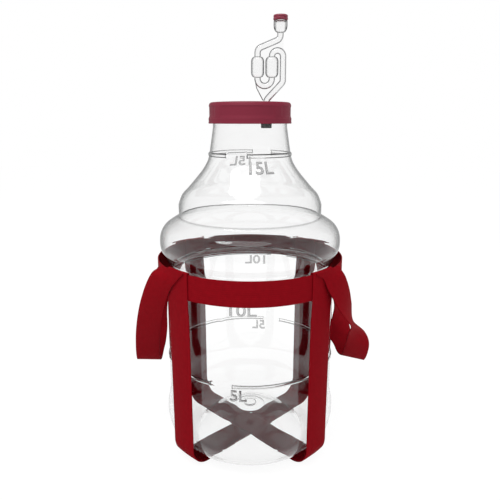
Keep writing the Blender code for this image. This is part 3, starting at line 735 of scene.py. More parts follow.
def bottle_profile(rise):
    """The outer side of the bottle, from its lip down to the middle of its base."""
    slope = (LEVEL_15_R - NECK_R) / (NECK_FOOT_Z - LEVEL_15_Z)
    half_drop = slope * BEAD_WIDTH / 2
    above_15 = LEVEL_15_R - half_drop
    below_15 = LEVEL_15_R + 1.6 * half_drop
    profile = [(NECK_R, LIP_Z)]
    profile += curve_profile([
        (NECK_R, NECK_FOOT_Z + 0.0100),
        (NECK_R, NECK_FOOT_Z),
        (NECK_R + 0.12 * (LEVEL_15_R - NECK_R), NECK_FOOT_Z - 0.0080),
        (above_15, LEVEL_15_Z + BEAD_WIDTH / 2),
    ], 4)[:-1]
    profile += bead(below_15, above_15, LEVEL_15_Z, rise)
    profile += curve_profile([
        (below_15, LEVEL_15_Z - BEAD_WIDTH / 2),
        (LEVEL_15_R + 0.0034, LEVEL_15_Z - 0.0110),
        (CONE_R, CONE_Z),
        (CONE_R + 0.55 * (SHOULDER_R - CONE_R), CONE_Z - 0.43 * (CONE_Z - SHOULDER_Z) - 0.0020),
        (SHOULDER_R - 0.0050, SHOULDER_Z + 0.0125),
        (SHOULDER_R, SHOULDER_Z),
    ], 5)[1:]
    profile += [(GROOVE_R + 0.0001, GROOVE_Z + 0.0012)]
    profile += curve_profile([
        (GROOVE_R, GROOVE_Z),
        (GROOVE_R + 0.40 * (BULGE_R - GROOVE_R), GROOVE_Z - 0.0062),
        (GROOVE_R + 0.74 * (BULGE_R - GROOVE_R), GROOVE_Z - 0.0130),
        (BULGE_R - 0.0012, BULGE_Z + 0.0100),
        (BULGE_R, BULGE_Z - 0.0030),
        (BULGE_R - 0.0022, BULGE_Z - 0.0140),
        (WAIST_R + 0.55 * (BULGE_R - WAIST_R), WAIST_Z + 0.0110),
        (WAIST_R, WAIST_Z),
        (WAIST_R + 0.6 * (BODY_R - WAIST_R), WAIST_Z - 0.0065),
        (BODY_R - 0.0002, BODY_TOP_Z),
    ], 4)
    for level in (LEVEL_10_Z, LEVEL_5_Z):
        if level + BEAD_WIDTH / 2 + BEAD_MARGIN < BODY_TOP_Z:
            profile.append((BODY_R, level + BEAD_WIDTH / 2 + BEAD_MARGIN))
        profile += bead(BODY_R, BODY_R, level, rise)
        profile.append((BODY_R, level - BEAD_WIDTH / 2 - BEAD_MARGIN))
    for step in range(13):
        profile.append((BODY_R + (FOOT_BAND_R - BODY_R) * ease(step / 12),
                        FOOT_BAND_TOP_Z + FOOT_BAND_SLOPE * (0.65 - step / 12)))
    profile += curve_profile([
        (FOOT_BAND_R, STAND_Z + HEEL_HEIGHT),
        (FOOT_BAND_R - 0.0035, STAND_Z + 0.58 * HEEL_HEIGHT),
        (STAND_OUTER_R + 0.55 * (FOOT_BAND_R - STAND_OUTER_R), STAND_Z + 0.22 * HEEL_HEIGHT),
        (STAND_OUTER_R, STAND_Z),
    ], 6)
    profile += [(STAND_INNER_R + 0.0010, STAND_Z), (STAND_INNER_R - 0.0012, STAND_Z + 0.0008)]
    for step in range(12):
        radius = STAND_INNER_R * (0.97 - 0.03 * step)
        profile.append((radius, punt_height(radius)))
    for radius, spread in ((PUNT_RING_R, 0.0038), (PUNT_DISC_R, PUNT_STEP),
                           (PUNT_NUB_R, PUNT_STEP)):
        profile += [(radius + spread, punt_height(radius + spread)),
                    (radius + spread * 0.6, punt_height(radius + spread * 0.6) + PUNT_STEP / 8),
                    (radius, punt_height(radius) + PUNT_STEP / 2)]
        if radius > PUNT_NUB_R:
            profile += [(radius * share, punt_height(radius * share) + PUNT_STEP / 2)
                        for share in (0.85, 0.7, 0.55)]
    profile.append((0.0, punt_height(0.0) + PUNT_STEP / 2))
    return profile


def wall_radius(profile, height):
    """The outer radius of the bottle's side at a height."""
    for (above_r, above_z), (below_r, below_z) in zip(profile, profile[1:]):
        if above_z >= height > below_z:
            return above_r + (below_r - above_r) * (above_z - height) / (above_z - below_z)
    raise ValueError("no part of the bottle's side is at this height")


def gap_share(x, y, radius, gap_azimuth):
    """How far a place round a bead lies in one of its two gaps, from 0 to 1."""
    turn = math.degrees(math.atan2(x, -y)) - gap_azimuth
    turn = abs((turn + 90.0) % 180.0 - 90.0)
    return ease(0.5 + (BEAD_GAP / 2 - math.radians(turn) * radius) / BEAD_END)


def mould_bead_and_paint_shade(obj, level, base_radius, gap_azimuth, rise):
    """Sink a bead into the wall in its gaps, and paint shade on both its flanks elsewhere."""
    lines = obj.data.attributes["painted_line_shade"].data
    for vertex in obj.data.vertices:
        across = 2 * (vertex.co.z - level) / BEAD_WIDTH
        if abs(across) > 1.001:
            continue
        radius = math.hypot(vertex.co.x, vertex.co.y)
        share = gap_share(vertex.co.x, vertex.co.y, base_radius, gap_azimuth)
        # Painted shade on the flanks, darkest on the upper flank in front and the lower flank
        # behind
        flank = 0.0 if abs(across) > 0.99 else max(0.0, 1.0 - (0.93 - abs(across)) / 0.5)
        upper_front = math.copysign(1.0, across) * -vertex.co.y / radius
        lines[vertex.index].value = flank * (1.0 - share) * (0.8 + 0.2 * upper_front)
        sink = share * rise * math.sqrt(max(0.0, 1.0 - across ** 2))
        scale_from_axis(vertex, 1.0 - sink / radius)


def darken_groove(obj, value):
    """Paint shade along the sharp fold of the groove below the shoulder."""
    lines = obj.data.attributes["painted_line_shade"].data
    for vertex in obj.data.vertices:
        if abs(vertex.co.z - GROOVE_Z) < 0.0001:
            lines[vertex.index].value = value


def paint_line_shade(obj, value):
    """Give every vertex the same depth of painted line shade."""
    lines = obj.data.attributes.new("painted_line_shade", "FLOAT", "POINT")
    for line in lines.data:
        line.value = value


def bead_end_shade_rods(level, base_radius, gap_azimuth, rise):
    """Thin dark rods of painted shade along the rounded ends of a bead, at its gap in front and its
    gap at the back.
    """
    swing = math.degrees(BEAD_GAP / 2 / base_radius)
    ends = []
    for azimuth in (gap_azimuth, gap_azimuth + 180.0):
        for side in (-1.0, 1.0):
            turn = math.radians(azimuth + side * swing)
            points = [round_axis(radius, turn, height)
                      for radius, height in bead(base_radius, base_radius, level, rise)]
            end = sweep("bead_end_shade_rod", points, [BEAD_END_SHADE_R] * len(points), 1)
            paint_line_shade(end, 1.0)
            ends.append(end)
    return ends


def level_number(name, text, height, width, left, foot, profile):
    """A moulded number of litres, bent onto the front of the bottle. Left is along X."""
    to_object_mode()
    bpy.ops.object.text_add(location=(0.0, 0.0, 0.0))
    obj = name_piece(name)
    obj.data.body = text
    obj.data.extrude = 0.02
    obj.data.bevel_depth = 0.022
    obj.data.bevel_resolution = 1
    obj.data.offset = -0.006
    bpy.ops.object.convert(target="MESH")
    corners = [vertex.co.copy() for vertex in obj.data.vertices]
    low = Vector(min(corner[i] for corner in corners) for i in range(3))
    high = Vector(max(corner[i] for corner in corners) for i in range(3))
    lines = obj.data.attributes.new("painted_line_shade", "FLOAT", "POINT")
    for vertex in obj.data.vertices:
        share = [(vertex.co[i] - low[i]) / (high[i] - low[i]) for i in range(3)]
        # Painted shade: the sides of each number darker than its face
        lines.data[vertex.index].value = MARK_FACE_SHADE if share[2] > 0.98 else MARK_SIDE_SHADE
        z = foot + share[1] * height
        radius = wall_radius(profile, z) - MARK_SINK + share[2] * MARK_DEPTH
        turn = (left + share[0] * width) / wall_radius(profile, foot + height / 2)
        vertex.co = round_axis(radius, turn, z)
    close_seams(obj, 0.00001)
    return obj


def copy_behind(obj):
    """A copy of a front mark, turned half round the bottle to its back."""
    work_on(obj)
    bpy.ops.object.duplicate()
    back = bpy.context.active_object
    for vertex in back.data.vertices:
        scale_from_axis(vertex, -1.0)
    return back


def neck_thread(name, radius, bottom_z, turns, ridge):
    """A helical ridge round the neck or inside the cap, fading out at both ends."""
    points = []
    radii = []
    count = int(48 * turns)
    for step in range(count + 1):
        share = step / count
        turn = share * turns * math.tau
        points.append(round_axis(radius, turn, bottom_z + THREAD_PITCH * share * turns))
        radii.append(ridge * max(0.15, min(1.0, 12 * share, 12 * (1.0 - share))))
    return sweep(name, points, radii, 2)


class CARBOY_OT_bottle(bpy.types.Operator):
    """Spin the clear bottle and mould its level marks and its thread on it"""

    bl_idname = "carboy.bottle"
    bl_label = "Bottle"

    def execute(self, context):
        settings = context.scene.carboy_bottle
        profile = bottle_profile(settings.bead_rise)
        bottle = spin_profile("clear_bottle", profile, settings.steps)
        paint_line_shade(bottle, 0.0)
        for level, radius, gap_azimuth in BEADS:
            mould_bead_and_paint_shade(bottle, level, radius, gap_azimuth, settings.bead_rise)
        darken_groove(bottle, 0.4)
        apply_modifier(bottle, "Wall", "SOLIDIFY", thickness=settings.wall, offset=-1.0,
                       use_even_offset=True)
        marks = [level_number(*mark, profile) for mark in MARKS]
        marks += [copy_behind(mark) for mark in marks]
        for bead_place in BEADS:
            marks += bead_end_shade_rods(*bead_place, settings.bead_rise)
        marks.append(neck_thread("neck_thread", NECK_R, CAP_BOTTOM_Z + 0.0020, 1.75, THREAD_R))
        join_into(bottle, *marks)
        smooth(bottle, 32.0)
        # Painted edge shade, full above 0.27 m and fading out down to 0.17 m
        material = clear_plastic("clear_bottle_plastic", settings.colour, settings.painted_edge_shade,
                                 edge_shade_span=(0.55, 0.92), edge_shade_heights=(0.17, 0.27))
        finish_piece(bottle, material, "root", "bottle_plastic", "bottle")
        return {"FINISHED"}


def sink_grip_panels(cap, depth):
    """Press four shallow grip panels into the skirt of the cap."""
    low_z = CAP_BOTTOM_Z + CAP_BAND_HEIGHT + 0.0020
    high_z = CAP_TOP_Z - 0.0050
    for vertex in cap.data.vertices:
        radius = math.hypot(vertex.co.x, vertex.co.y)
        if radius < CAP_OUTER_R - 0.0008 or not low_z < vertex.co.z < high_z:
            continue
        turn = math.degrees(math.atan2(vertex.co.x, -vertex.co.y)) + GRIP_PANEL_TURN
        from_middle = abs((turn + 45.0) % 90.0 - 45.0)
        share = ease((GRIP_PANEL_HALF_ANGLE - from_middle) / GRIP_PANEL_EDGE_ANGLE)
        scale_from_axis(vertex, 1.0 - share * depth / radius)


def seal_profile():
    """The sealing ring's section, closed."""
    top = PLATE_UNDER_Z - SEAT_GAP
    bottom = top - SEAL_THICKNESS
    outer_r = CAP_INNER_R - SEAT_GAP
    return [
        (SEAL_INNER_R, top - EDGE_ROUND),
        (SEAL_INNER_R + EDGE_ROUND, top),
        (outer_r - EDGE_ROUND, top),
        (outer_r, top - EDGE_ROUND),
        (outer_r, bottom + EDGE_ROUND),
        (outer_r - EDGE_ROUND, bottom),
        (SEAL_INNER_R + EDGE_ROUND, bottom),
        (SEAL_INNER_R, bottom + EDGE_ROUND),
    ]


def bung_profile():
    """The bung's section, closed: its bore, flange, retaining lip and tapered foot."""
    bore_r = STEM_R + SEAT_GAP
    flange_under = PANEL_Z + SEAT_GAP
    flange_top = flange_under + BUNG_FLANGE
    lip_z = PLATE_UNDER_Z - SEAT_GAP
    return [
        (bore_r, flange_top - EDGE_ROUND),
        (bore_r + EDGE_ROUND, flange_top),
        (BUNG_FLANGE_R - 0.0007, flange_top),
        (BUNG_FLANGE_R - 0.0002, flange_top - 0.0002),
        (BUNG_FLANGE_R, flange_top - 0.0007),
        (BUNG_FLANGE_R, flange_under),
        (BUNG_TOP_R, flange_under),
        (BUNG_TOP_R, lip_z),
        (BUNG_TOP_R + BUNG_LIP, lip_z - 0.0001),
        (BUNG_TOP_R + BUNG_LIP, lip_z - 0.0010),
        (BUNG_TOP_R - 0.0003, lip_z - 0.0030),
        (BUNG_BOTTOM_R + 0.0004, BUNG_BOTTOM_Z + 0.0006),
        (BUNG_BOTTOM_R, BUNG_BOTTOM_Z),
        (bore_r, BUNG_BOTTOM_Z),
    ]


def dust_cap_profile():
    """The dust cap's section: rounded top, grip groove, rim and inside."""
    bottom = CUP_TOP_Z + SEAT_GAP
    top = bottom + DUST_CAP_HEIGHT
    under = top - DUST_CAP_PLATE
    inner_r = RIM_R + SEAT_GAP
    return [
        (0.0, top),
        (DUST_CAP_R - 0.0016, top),
        (DUST_CAP_R - 0.0006, top - 0.0003),
        (DUST_CAP_R - 0.0001, top - 0.0011),
        (DUST_CAP_R, top - 0.0022),
        (DUST_CAP_R - 0.0005, top - 0.0026),
        (DUST_CAP_R - 0.0005, bottom + 0.0034),
        (DUST_CAP_R, bottom + 0.0030),
        (DUST_CAP_R, bottom + 0.0008),
        (DUST_CAP_R - 0.0006, bottom),
        (inner_r, bottom),
        (inner_r, under),
        (0.0, under),
    ]


def cap_profile():
    """The screw cap's section: sunk panel, rounded edge, grip skirt, band and flared rim."""
    band_z = CAP_BOTTOM_Z + CAP_BAND_HEIGHT
    edge_r = CAP_OUTER_R - 0.0036
    profile = [(0.0, PANEL_Z), (CAP_PANEL_R - 0.0006, PANEL_Z)]
    profile += [(CAP_PANEL_R, PANEL_Z + 0.0003), (CAP_PANEL_R + 0.0006, CAP_TOP_Z - 0.0004),
                (CAP_PANEL_R + 0.0010, CAP_TOP_Z)]
    profile += curve_profile([
        (edge_r, CAP_TOP_Z),
        (edge_r + 0.0014, CAP_TOP_Z - 0.0004),
        (edge_r + 0.0027, CAP_TOP_Z - 0.0016),
        (CAP_OUTER_R - 0.0002, CAP_TOP_Z - 0.0040),
    ], 3)
    high = CAP_TOP_Z - 0.0046
    low = band_z + 0.0014
    profile += [(CAP_OUTER_R, high - (high - low) * step / 10) for step in range(11)]
    profile += [
        (CAP_OUTER_R, band_z + 0.0006),
        (CAP_OUTER_R + 0.0005, band_z + 0.0001),
        (CAP_OUTER_R + 0.0005, band_z - 0.0004),
        (CAP_OUTER_R + 0.0003, CAP_BOTTOM_Z + 0.0028),
        (CAP_OUTER_R + 0.0006, CAP_BOTTOM_Z + 0.0016),
        (CAP_OUTER_R + 0.0006, CAP_BOTTOM_Z + 0.0003),
        (CAP_OUTER_R + 0.0003, CAP_BOTTOM_Z),
        (CAP_INNER_R + 0.0003, CAP_BOTTOM_Z),
        (CAP_INNER_R, CAP_BOTTOM_Z + 0.0003),
        (CAP_INNER_R, PLATE_UNDER_Z),
        (0.0, PLATE_UNDER_Z),
    ]
    return profile


class CARBOY_OT_closure(bpy.types.Operator):
    """Model the screw cap with its thread, its sealing ring and its bored bung"""

    bl_idname = "carboy.closure"
    bl_label = "Cap, Seal and Bung"

    def execute(self, context):
        settings = context.scene.carboy_closure
        cap = spin_profile("moulded_cap", cap_profile(), settings.steps)
        sink_grip_panels(cap, settings.panel_depth)
        middle = (PANEL_Z + PLATE_UNDER_Z) / 2
        to_object_mode()
        bpy.ops.mesh.primitive_cylinder_add(
            vertices=64, radius=BUNG_TOP_R + SEAT_GAP, depth=4 * CAP_PLATE,
            location=(HOLE_X, 0.0, middle))
        hole = name_piece("hole_cutter")
        apply_modifier(cap, "Hole", "BOOLEAN", operation="DIFFERENCE", solver="EXACT",
                       object=hole)
        bpy.data.objects.remove(hole, do_unlink=True)
        ridge = neck_thread("cap_thread", CAP_INNER_R, CAP_BOTTOM_Z + 0.0060, 1.5, 0.0011)
        join_into(cap, ridge)
        smooth(cap, 30.0)
        plastic = moulded("burgundy_plastic", settings.colour, mottle=0.08, scale=1400.0,
                          roughness=0.5, shine=0.25, bump=0.10)
        finish_piece(cap, plastic, "cap", "cap_plastic", "screw_cap")

        seal = spin_profile("soft_seal", seal_profile(), 144, closed=True)
        smooth(seal, 50.0)
        seal_rubber = moulded("seal_rubber", settings.seal_colour, mottle=0.08, scale=900.0,
                              roughness=0.6, shine=0.4, bump=0.2)
        finish_piece(seal, seal_rubber, "seal", "seal_rubber", "cap_seal")

        bung = spin_profile("bored_bung", bung_profile(), 72, x=HOLE_X, closed=True)
        smooth(bung, 30.0)
        rubber = moulded("bung_rubber", settings.bung_colour, mottle=0.15, scale=1200.0,
                         roughness=0.62, shine=0.3, bump=0.3)
        finish_piece(bung, rubber, "cap", "bung_rubber", "bung")
        return {"FINISHED"}


def bubble(x, start_z, end_z):
    """Samples of a bubble on a straight run of the tube: points with their outer radius."""
    direction = math.copysign(1.0, end_z - start_z)
    samples = []
    for step in range(9):
        turn = math.pi / 2 * step / 8
        radius = TUBE_R + (BUBBLE_R - TUBE_R) * math.sin(turn)
        samples.append((radius, BUBBLE_SHOULDER * (1.0 - math.cos(turn))))
    run = [(Vector((x, 0.0, start_z + direction * along)), radius) for radius, along in samples]
    run += [(Vector((x, 0.0, end_z - direction * along)), radius)
            for radius, along in reversed(samples)]
    return run


def lock_samples(inset, spare):
    """The centre line of the lock with a radius at each point, less the inset."""
    right_x = HOLE_X + RIGHT_BUBBLE_X
    left_x = HOLE_X + LEFT_BUBBLE_X
    riser_x = HOLE_X + RISER_X
    cup_x = HOLE_X + CUP_X
    bubble_bottom = PANEL_Z + BUBBLE_BOTTOM_Z
    bubble_top = bubble_bottom + BUBBLE_LENGTH
    arch_z = PANEL_Z + ARCH_Z
    cup_z = PANEL_Z + CUP_BOTTOM_Z
    riser = rounded_path([
        (HOLE_X, PANEL_Z - STEM_DEPTH - spare),
        (HOLE_X, PANEL_Z + STEM_BEND_Z),
        (riser_x, PANEL_Z + RISER_BEND_Z),
        (riser_x, arch_z),
    ], BEND_R, 9)
    samples = [(point, STEM_R) for point in riser[:2]]
    arch_r = (riser_x - right_x) / 2
    arch = arc(riser_x - arch_r, arch_z, arch_r, 0.0, 180.0, 19)
    samples += [(point, TUBE_R) for point in riser[2:-1] + arch]
    samples += bubble(right_x, bubble_top, bubble_bottom)
    turn_r = (right_x - left_x) / 2
    ubend = arc(right_x - turn_r, bubble_bottom - UBEND_DROP, turn_r, 0.0, -180.0, 23)
    samples += [(point, TUBE_R) for point in ubend]
    samples += bubble(left_x, bubble_bottom, bubble_top)
    cross = rounded_path([
        (left_x, bubble_top),
        (left_x, PANEL_Z + CROSS_BEND_Z),
        (cup_x, PANEL_Z + CUP_BEND_Z),
        (cup_x, cup_z),
    ], BEND_R, 9)
    samples += [(point, TUBE_R) for point in cross[1:]]
    limit = RIM_R if inset else CUP_R
    for step in range(1, 10):
        turn = math.pi / 2 * step / 9
        radius = TUBE_R + (CUP_R - TUBE_R) * math.sin(turn)
        height = cup_z + 0.62 * CUP_HEIGHT * (1.0 - math.cos(turn))
        samples.append((Vector((cup_x, 0.0, height)), min(radius, limit)))
    if inset:
        mouth = [(RIM_TOP_Z + spare, RIM_R)]
    else:
        mouth = [(CUP_TOP_Z - 0.0011, CUP_R), (CUP_TOP_Z - 0.0001, RIM_R), (RIM_TOP_Z, RIM_R)]
    samples += [(Vector((cup_x, 0.0, height)), radius) for height, radius in mouth]
    return [(point, radius - inset) for point, radius in samples]


def web_free_edge():
    """The free edge of the lock's web, from the left bend down to the cap, as (x, height)."""
    bend_x = HOLE_X + LEFT_BUBBLE_X - TUBE_R
    return [(bend_x + 0.0006, PANEL_Z + BUBBLE_BOTTOM_Z - 0.0010),
            (bend_x + 0.0030, PANEL_Z + 0.0200),
            (HOLE_X + WEB_LOW_X, PANEL_Z + WEB_LOW_Z)]


def lock_web(sheet):
    """The thin sheet between the tubes of the lock, as an extruded outline."""
    riser_x = HOLE_X + RISER_X
    left_x = HOLE_X + LEFT_BUBBLE_X
    bend, knee, low_corner = web_free_edge()
    outline = [
        low_corner,
        (HOLE_X, PANEL_Z + WEB_LOW_Z),
        (riser_x, PANEL_Z + RISER_BEND_Z),
        (riser_x, PANEL_Z + CUP_BEND_Z + 0.0015),
        (left_x, PANEL_Z + CROSS_BEND_Z),
        (left_x, PANEL_Z + BUBBLE_BOTTOM_Z),
        bend,
        knee,
    ]
    web = draw_chain("lock_web", [Vector((x, -sheet / 2, z)) for x, z in outline])
    edit_all()
    bpy.ops.mesh.edge_face_add()
    bpy.ops.mesh.extrude_region_move(TRANSFORM_OT_translate={"value": (0.0, sheet, 0.0)})
    edit_all()
    bpy.ops.mesh.normals_make_consistent(inside=False)
    to_object_mode()
    return web


def web_edge():
    """The roll along the free edge of the lock's web, with painted shade along it."""
    points = [Vector((x, 0.0, z)) for x, z in web_free_edge()]
    edge = sweep("web_edge", points, [WEB_EDGE_R] * 3, 2)
    paint_line_shade(edge, 0.7)
    return edge


class CARBOY_OT_lock(bpy.types.Operator):
    """Sweep the twin-bubble lock with its web and its passage, and turn its dust cap"""

    bl_idname = "carboy.lock"
    bl_label = "Lock and Dust Cap"

    def execute(self, context):
        settings = context.scene.carboy_lock
        outer = lock_samples(0.0, 0.0)
        lock = sweep("twin_bubble_lock", [p for p, r in outer], [r for p, r in outer], 7)
        web = lock_web(settings.web_sheet)
        inner = lock_samples(settings.wall, 0.001)
        passage = sweep("passage_cutter", [p for p, r in inner], [r for p, r in inner], 7)
        apply_modifier(lock, "Web", "BOOLEAN", operation="UNION", solver="EXACT", object=web)
        apply_modifier(lock, "Passage", "BOOLEAN", operation="DIFFERENCE", solver="EXACT",
                       object=passage)
        for cutter in (web, passage):
            bpy.data.objects.remove(cutter, do_unlink=True)
        join_into(lock, web_edge())
        smooth(lock, 35.0)
        # Painted edge shade where the lock's tubes are seen edge-on
        plastic = clear_plastic("clear_lock_plastic", settings.colour, settings.painted_edge_shade,
                                edge_shade_span=(0.25, 0.68), edge_shade_heights=(0.0, 0.1))
        finish_piece(lock, plastic, "lock", "lock_plastic", "airlock_body")

        dust_cap = spin_profile("dust_cap", dust_cap_profile(), 96, x=HOLE_X + CUP_X)
        smooth(dust_cap, 30.0)
        plastic = moulded("dust_cap_plastic", settings.dust_cap_colour, mottle=0.12, scale=1600.0,
                          roughness=0.4, shine=0.4, bump=0.10, glow_through=0.6)
        finish_piece(dust_cap, plastic, "dust_cap", "dust_cap_plastic", "airlock_cap")
        return {"FINISHED"}


def lay_webbing(name, rows, settings, node, closed=False):
    """Lay a strip of webbing through rows of points: a grid with its thickness and soft edges."""
    columns = len(rows[0])
    to_object_mode()
    bpy.ops.mesh.primitive_grid_add(x_subdivisions=columns - 1, y_subdivisions=len(rows) - 1,
                                    size=1.0)
    strip = name_piece(name)
    middle = columns // 2
    along = [0.0]
    for before, after in zip(rows, rows[1:]):
        along.append(along[-1] + (after[middle] - before[middle]).length)
    across = [0.0]
    for before, after in zip(rows[0], rows[0][1:]):
        across.append(across[-1] + (after - before).length)
    for vertex in strip.data.vertices:
        vertex.co = rows[vertex.index // columns][vertex.index % columns]
    layer = strip.data.uv_layers.active
    for loop in strip.data.loops:
        layer.data[loop.index].uv = (across[loop.vertex_index % columns],
                                     along[loop.vertex_index // columns])
    work_on(strip)
    if closed:
        edit_all()
        bpy.ops.mesh.remove_doubles(threshold=SEAM_GAP)
        to_object_mode()
    apply_modifier(strip, "Thickness", "SOLIDIFY", thickness=settings.thickness, offset=0.0,
                   use_even_offset=True)
    apply_modifier(strip, "Selvedge", "BEVEL", width=settings.edge, segments=2,
                   limit_method="ANGLE", angle_limit=math.radians(50.0))
    smooth(strip, 60.0)
    finish_piece(strip, webbing_material(settings.colour), "root", "webbing", node)
    return strip


def carry_on(path, distance, height, bend, count):
    """Carry a strap's path on, in equal steps, to a distance and a height."""
    last_distance, last_height, _ = path[-1]
    for step in range(1, count + 1):
        share = step / count
        path.append((last_distance + (distance - last_distance) * share,
                     last_height + (height - last_height) * share, bend))


def strap_half():
    """Half a strap from its folded end to the middle of the base: distance, height and bend."""
    half = WEB_THICKNESS / 2
    fold_r = (STRAP_BELT_R - STRAP_TAIL_R) / 2
    fold_z = BELT_TOP_Z + SEAT_GAP
    waist_z = BELT_BOTTOM_Z - STRAP_WAIST_DROP
    path = [(STRAP_TAIL_R, fold_z - STRAP_TAIL, 1.0)]
    carry_on(path, STRAP_TAIL_R, fold_z, 1.0, 4)
    fold = arc(STRAP_TAIL_R + fold_r, fold_z, fold_r, 180.0, 0.0, 13)
    path += [(point.x, point.z, 1.0) for point in fold[1:]]
    carry_on(path, STRAP_BELT_R, BELT_BOTTOM_Z, 1.0, 4)
    for step in range(1, 9):
        t = step / 8
        path.append((STRAP_BELT_R + (STRAP_WAIST_R - STRAP_BELT_R) * ease(t),
                     BELT_BOTTOM_Z - STRAP_WAIST_DROP * t, 1.0))
    side = smooth_curve([
        (STRAP_WAIST_R, 0.0, waist_z),
        ((STRAP_WAIST_R + STRAP_FOOT_R) / 2, 0.0, (BELT_BOTTOM_Z + FOOT_BAND_TOP_Z) / 2 - 0.010),
        (STRAP_FOOT_R, 0.0, FOOT_BAND_TOP_Z),
    ], 7)
    path += [(point.x, point.z, 1.0) for point in side[1:]]
    heel = arc(STRAP_FOOT_R - STRAP_HEEL_R, half + STRAP_HEEL_R, STRAP_HEEL_R, 0.0, -90.0, 17)
    carry_on(path, heel[0].x, heel[0].z, 1.0, 6)
    path += [(point.x, point.z, 1.0 - ease(step / 16)) for step, point in enumerate(heel) if step]
    carry_on(path, CROSSING_END, half, 0.0, 5)
    carry_on(path, CROSSING_END - CROSSING_RISE, half, 0.0, 12)
    carry_on(path, 0.0, half, 0.0, 4)
    return path


def strap_rows(azimuth, over, columns):
    """Rows of points across a strap, under the bottle and up both its sides."""
    half = strap_half()
    along = half + [(-distance, height, bend) for distance, height, bend in reversed(half[:-1])]
    turn = math.radians(azimuth)
    outward = Vector((math.sin(turn), -math.cos(turn), 0.0))
    sideways = Vector((math.cos(turn), math.sin(turn), 0.0))
    rows = []
    for distance, height, bend in along:
        if over and height < WEB_THICKNESS:
            lift = ease((CROSSING_END - abs(distance)) / CROSSING_RISE)
            height += lift * (WEB_THICKNESS + SEAT_GAP)
        row = []
        for k in range(columns + 1):
            aside = STRAP_WIDTH * (k / columns - 0.5)
            radius = max(abs(distance), STRAP_WIDTH)
            sag = bend * (radius - math.sqrt(radius ** 2 - aside ** 2))
            reach = distance - math.copysign(sag, distance)
            row.append(outward * reach + sideways * aside + Vector((0.0, 0.0, height)))
        rows.append(row)
    return rows


def mirrored(rungs):
    """The same rungs on the other side of the middle plane, in the opposite order."""
    return [tuple((out, 180.0 - azimuth, drop) for out, azimuth, drop in rung)
            for rung in reversed(rungs)]


def rung_point(edge, side):
    """An end of a rung as its radius, azimuth and height. Side is 1 at the right."""
    out, azimuth, drop = edge
    return Vector((HANDLE_SEAT_R + out * HANDLE_UNIT, side * azimuth,
                   BELT_TOP_Z - drop * HANDLE_UNIT))


def from_axis(point):
    """The place of a point that is given as radius, azimuth in degrees and height."""
    radius, azimuth, height = point
    return round_axis(radius, math.radians(azimuth), height)


def handle_rows(side, hanging, columns):
    """Rows of points across a handle, down from the front strap and up to the back."""
    rungs = HANDLE_ROOT + hanging + mirrored(HANDLE_ROOT)
    inner_edge = smooth_curve([rung_point(inner, side) for inner, outer in rungs], 8)
    outer_edge = smooth_curve([rung_point(outer, side) for inner, outer in rungs], 8)
    middles = [(inner + outer) / 2 for inner, outer in zip(inner_edge, outer_edge)]
    places = [from_axis(middle) for middle in middles]
    rows = []
    for i, (inner, outer) in enumerate(zip(inner_edge, outer_edge)):
        run = (places[min(i + 1, len(places) - 1)] - places[max(i - 1, 0)]).normalized()
        across = from_axis(outer) - from_axis(inner)
        square = (across - run * across.dot(run)).length
        row = []
        for k in range(columns + 1):
            point = middles[i] + (outer - inner) * HANDLE_WIDTH / square * (k / columns - 0.5)
            if point.z > BELT_BOTTOM_Z - HANDLE_REST:
                point.x = max(point.x, HANDLE_SEAT_R)
            row.append(from_axis(point))
        rows.append(row)
    return rows


def belt_rows(columns):
    """Rows of points across the belt, once round the bottle."""
    middle_r = (BELT_INNER_R + BELT_OUTER_R) / 2
    rows = []
    for step in range(241):
        turn = math.tau * (step % 240) / 240
        rows.append([Vector((middle_r * math.sin(turn), middle_r * math.cos(turn),
                             BELT_BOTTOM_Z + BELT_WIDTH * k / columns))
                     for k in range(columns + 1)])
    return rows


class CARBOY_OT_webbing(bpy.types.Operator):
    """Lay the belt, the two straps and the two handles"""

    bl_idname = "carboy.webbing"
    bl_label = "Webbing Carrier"

    def execute(self, context):
        settings = context.scene.carboy_webbing
        columns = settings.columns
        lay_webbing("webbing_belt", belt_rows(columns), settings, "belt", closed=True)
        lay_webbing("webbing_strap_under", strap_rows(-STRAP_AZIMUTH, False, columns), settings,
                    "strap_left_front")
        lay_webbing("webbing_strap_over", strap_rows(STRAP_AZIMUTH, True, columns), settings,
                    "strap_right_front")
        lay_webbing("webbing_handle_left", handle_rows(-1.0, LEFT_HANDLE_RUN, columns),
                    settings, "handle_left")
        lay_webbing("webbing_handle_right", handle_rows(1.0, RIGHT_HANDLE_RUN, columns),
                    settings, "handle_right")
        return {"FINISHED"}


def white_backdrop_world(fill):
    """A world that is white behind the object, darker in reflections, and fills softly."""
    world = bpy.data.worlds.new("studio")
    bpy.context.scene.world = world
    world.use_nodes = True
    feed(world.node_tree, world.node_tree.nodes["Background"],
         {"Color": (1.0, 1.0, 1.0, 1.0),
          "Strength": seen_level(world.node_tree, straight=1.0, mirrored_level=0.5,
                                 bounced=0.15, fill=fill)})


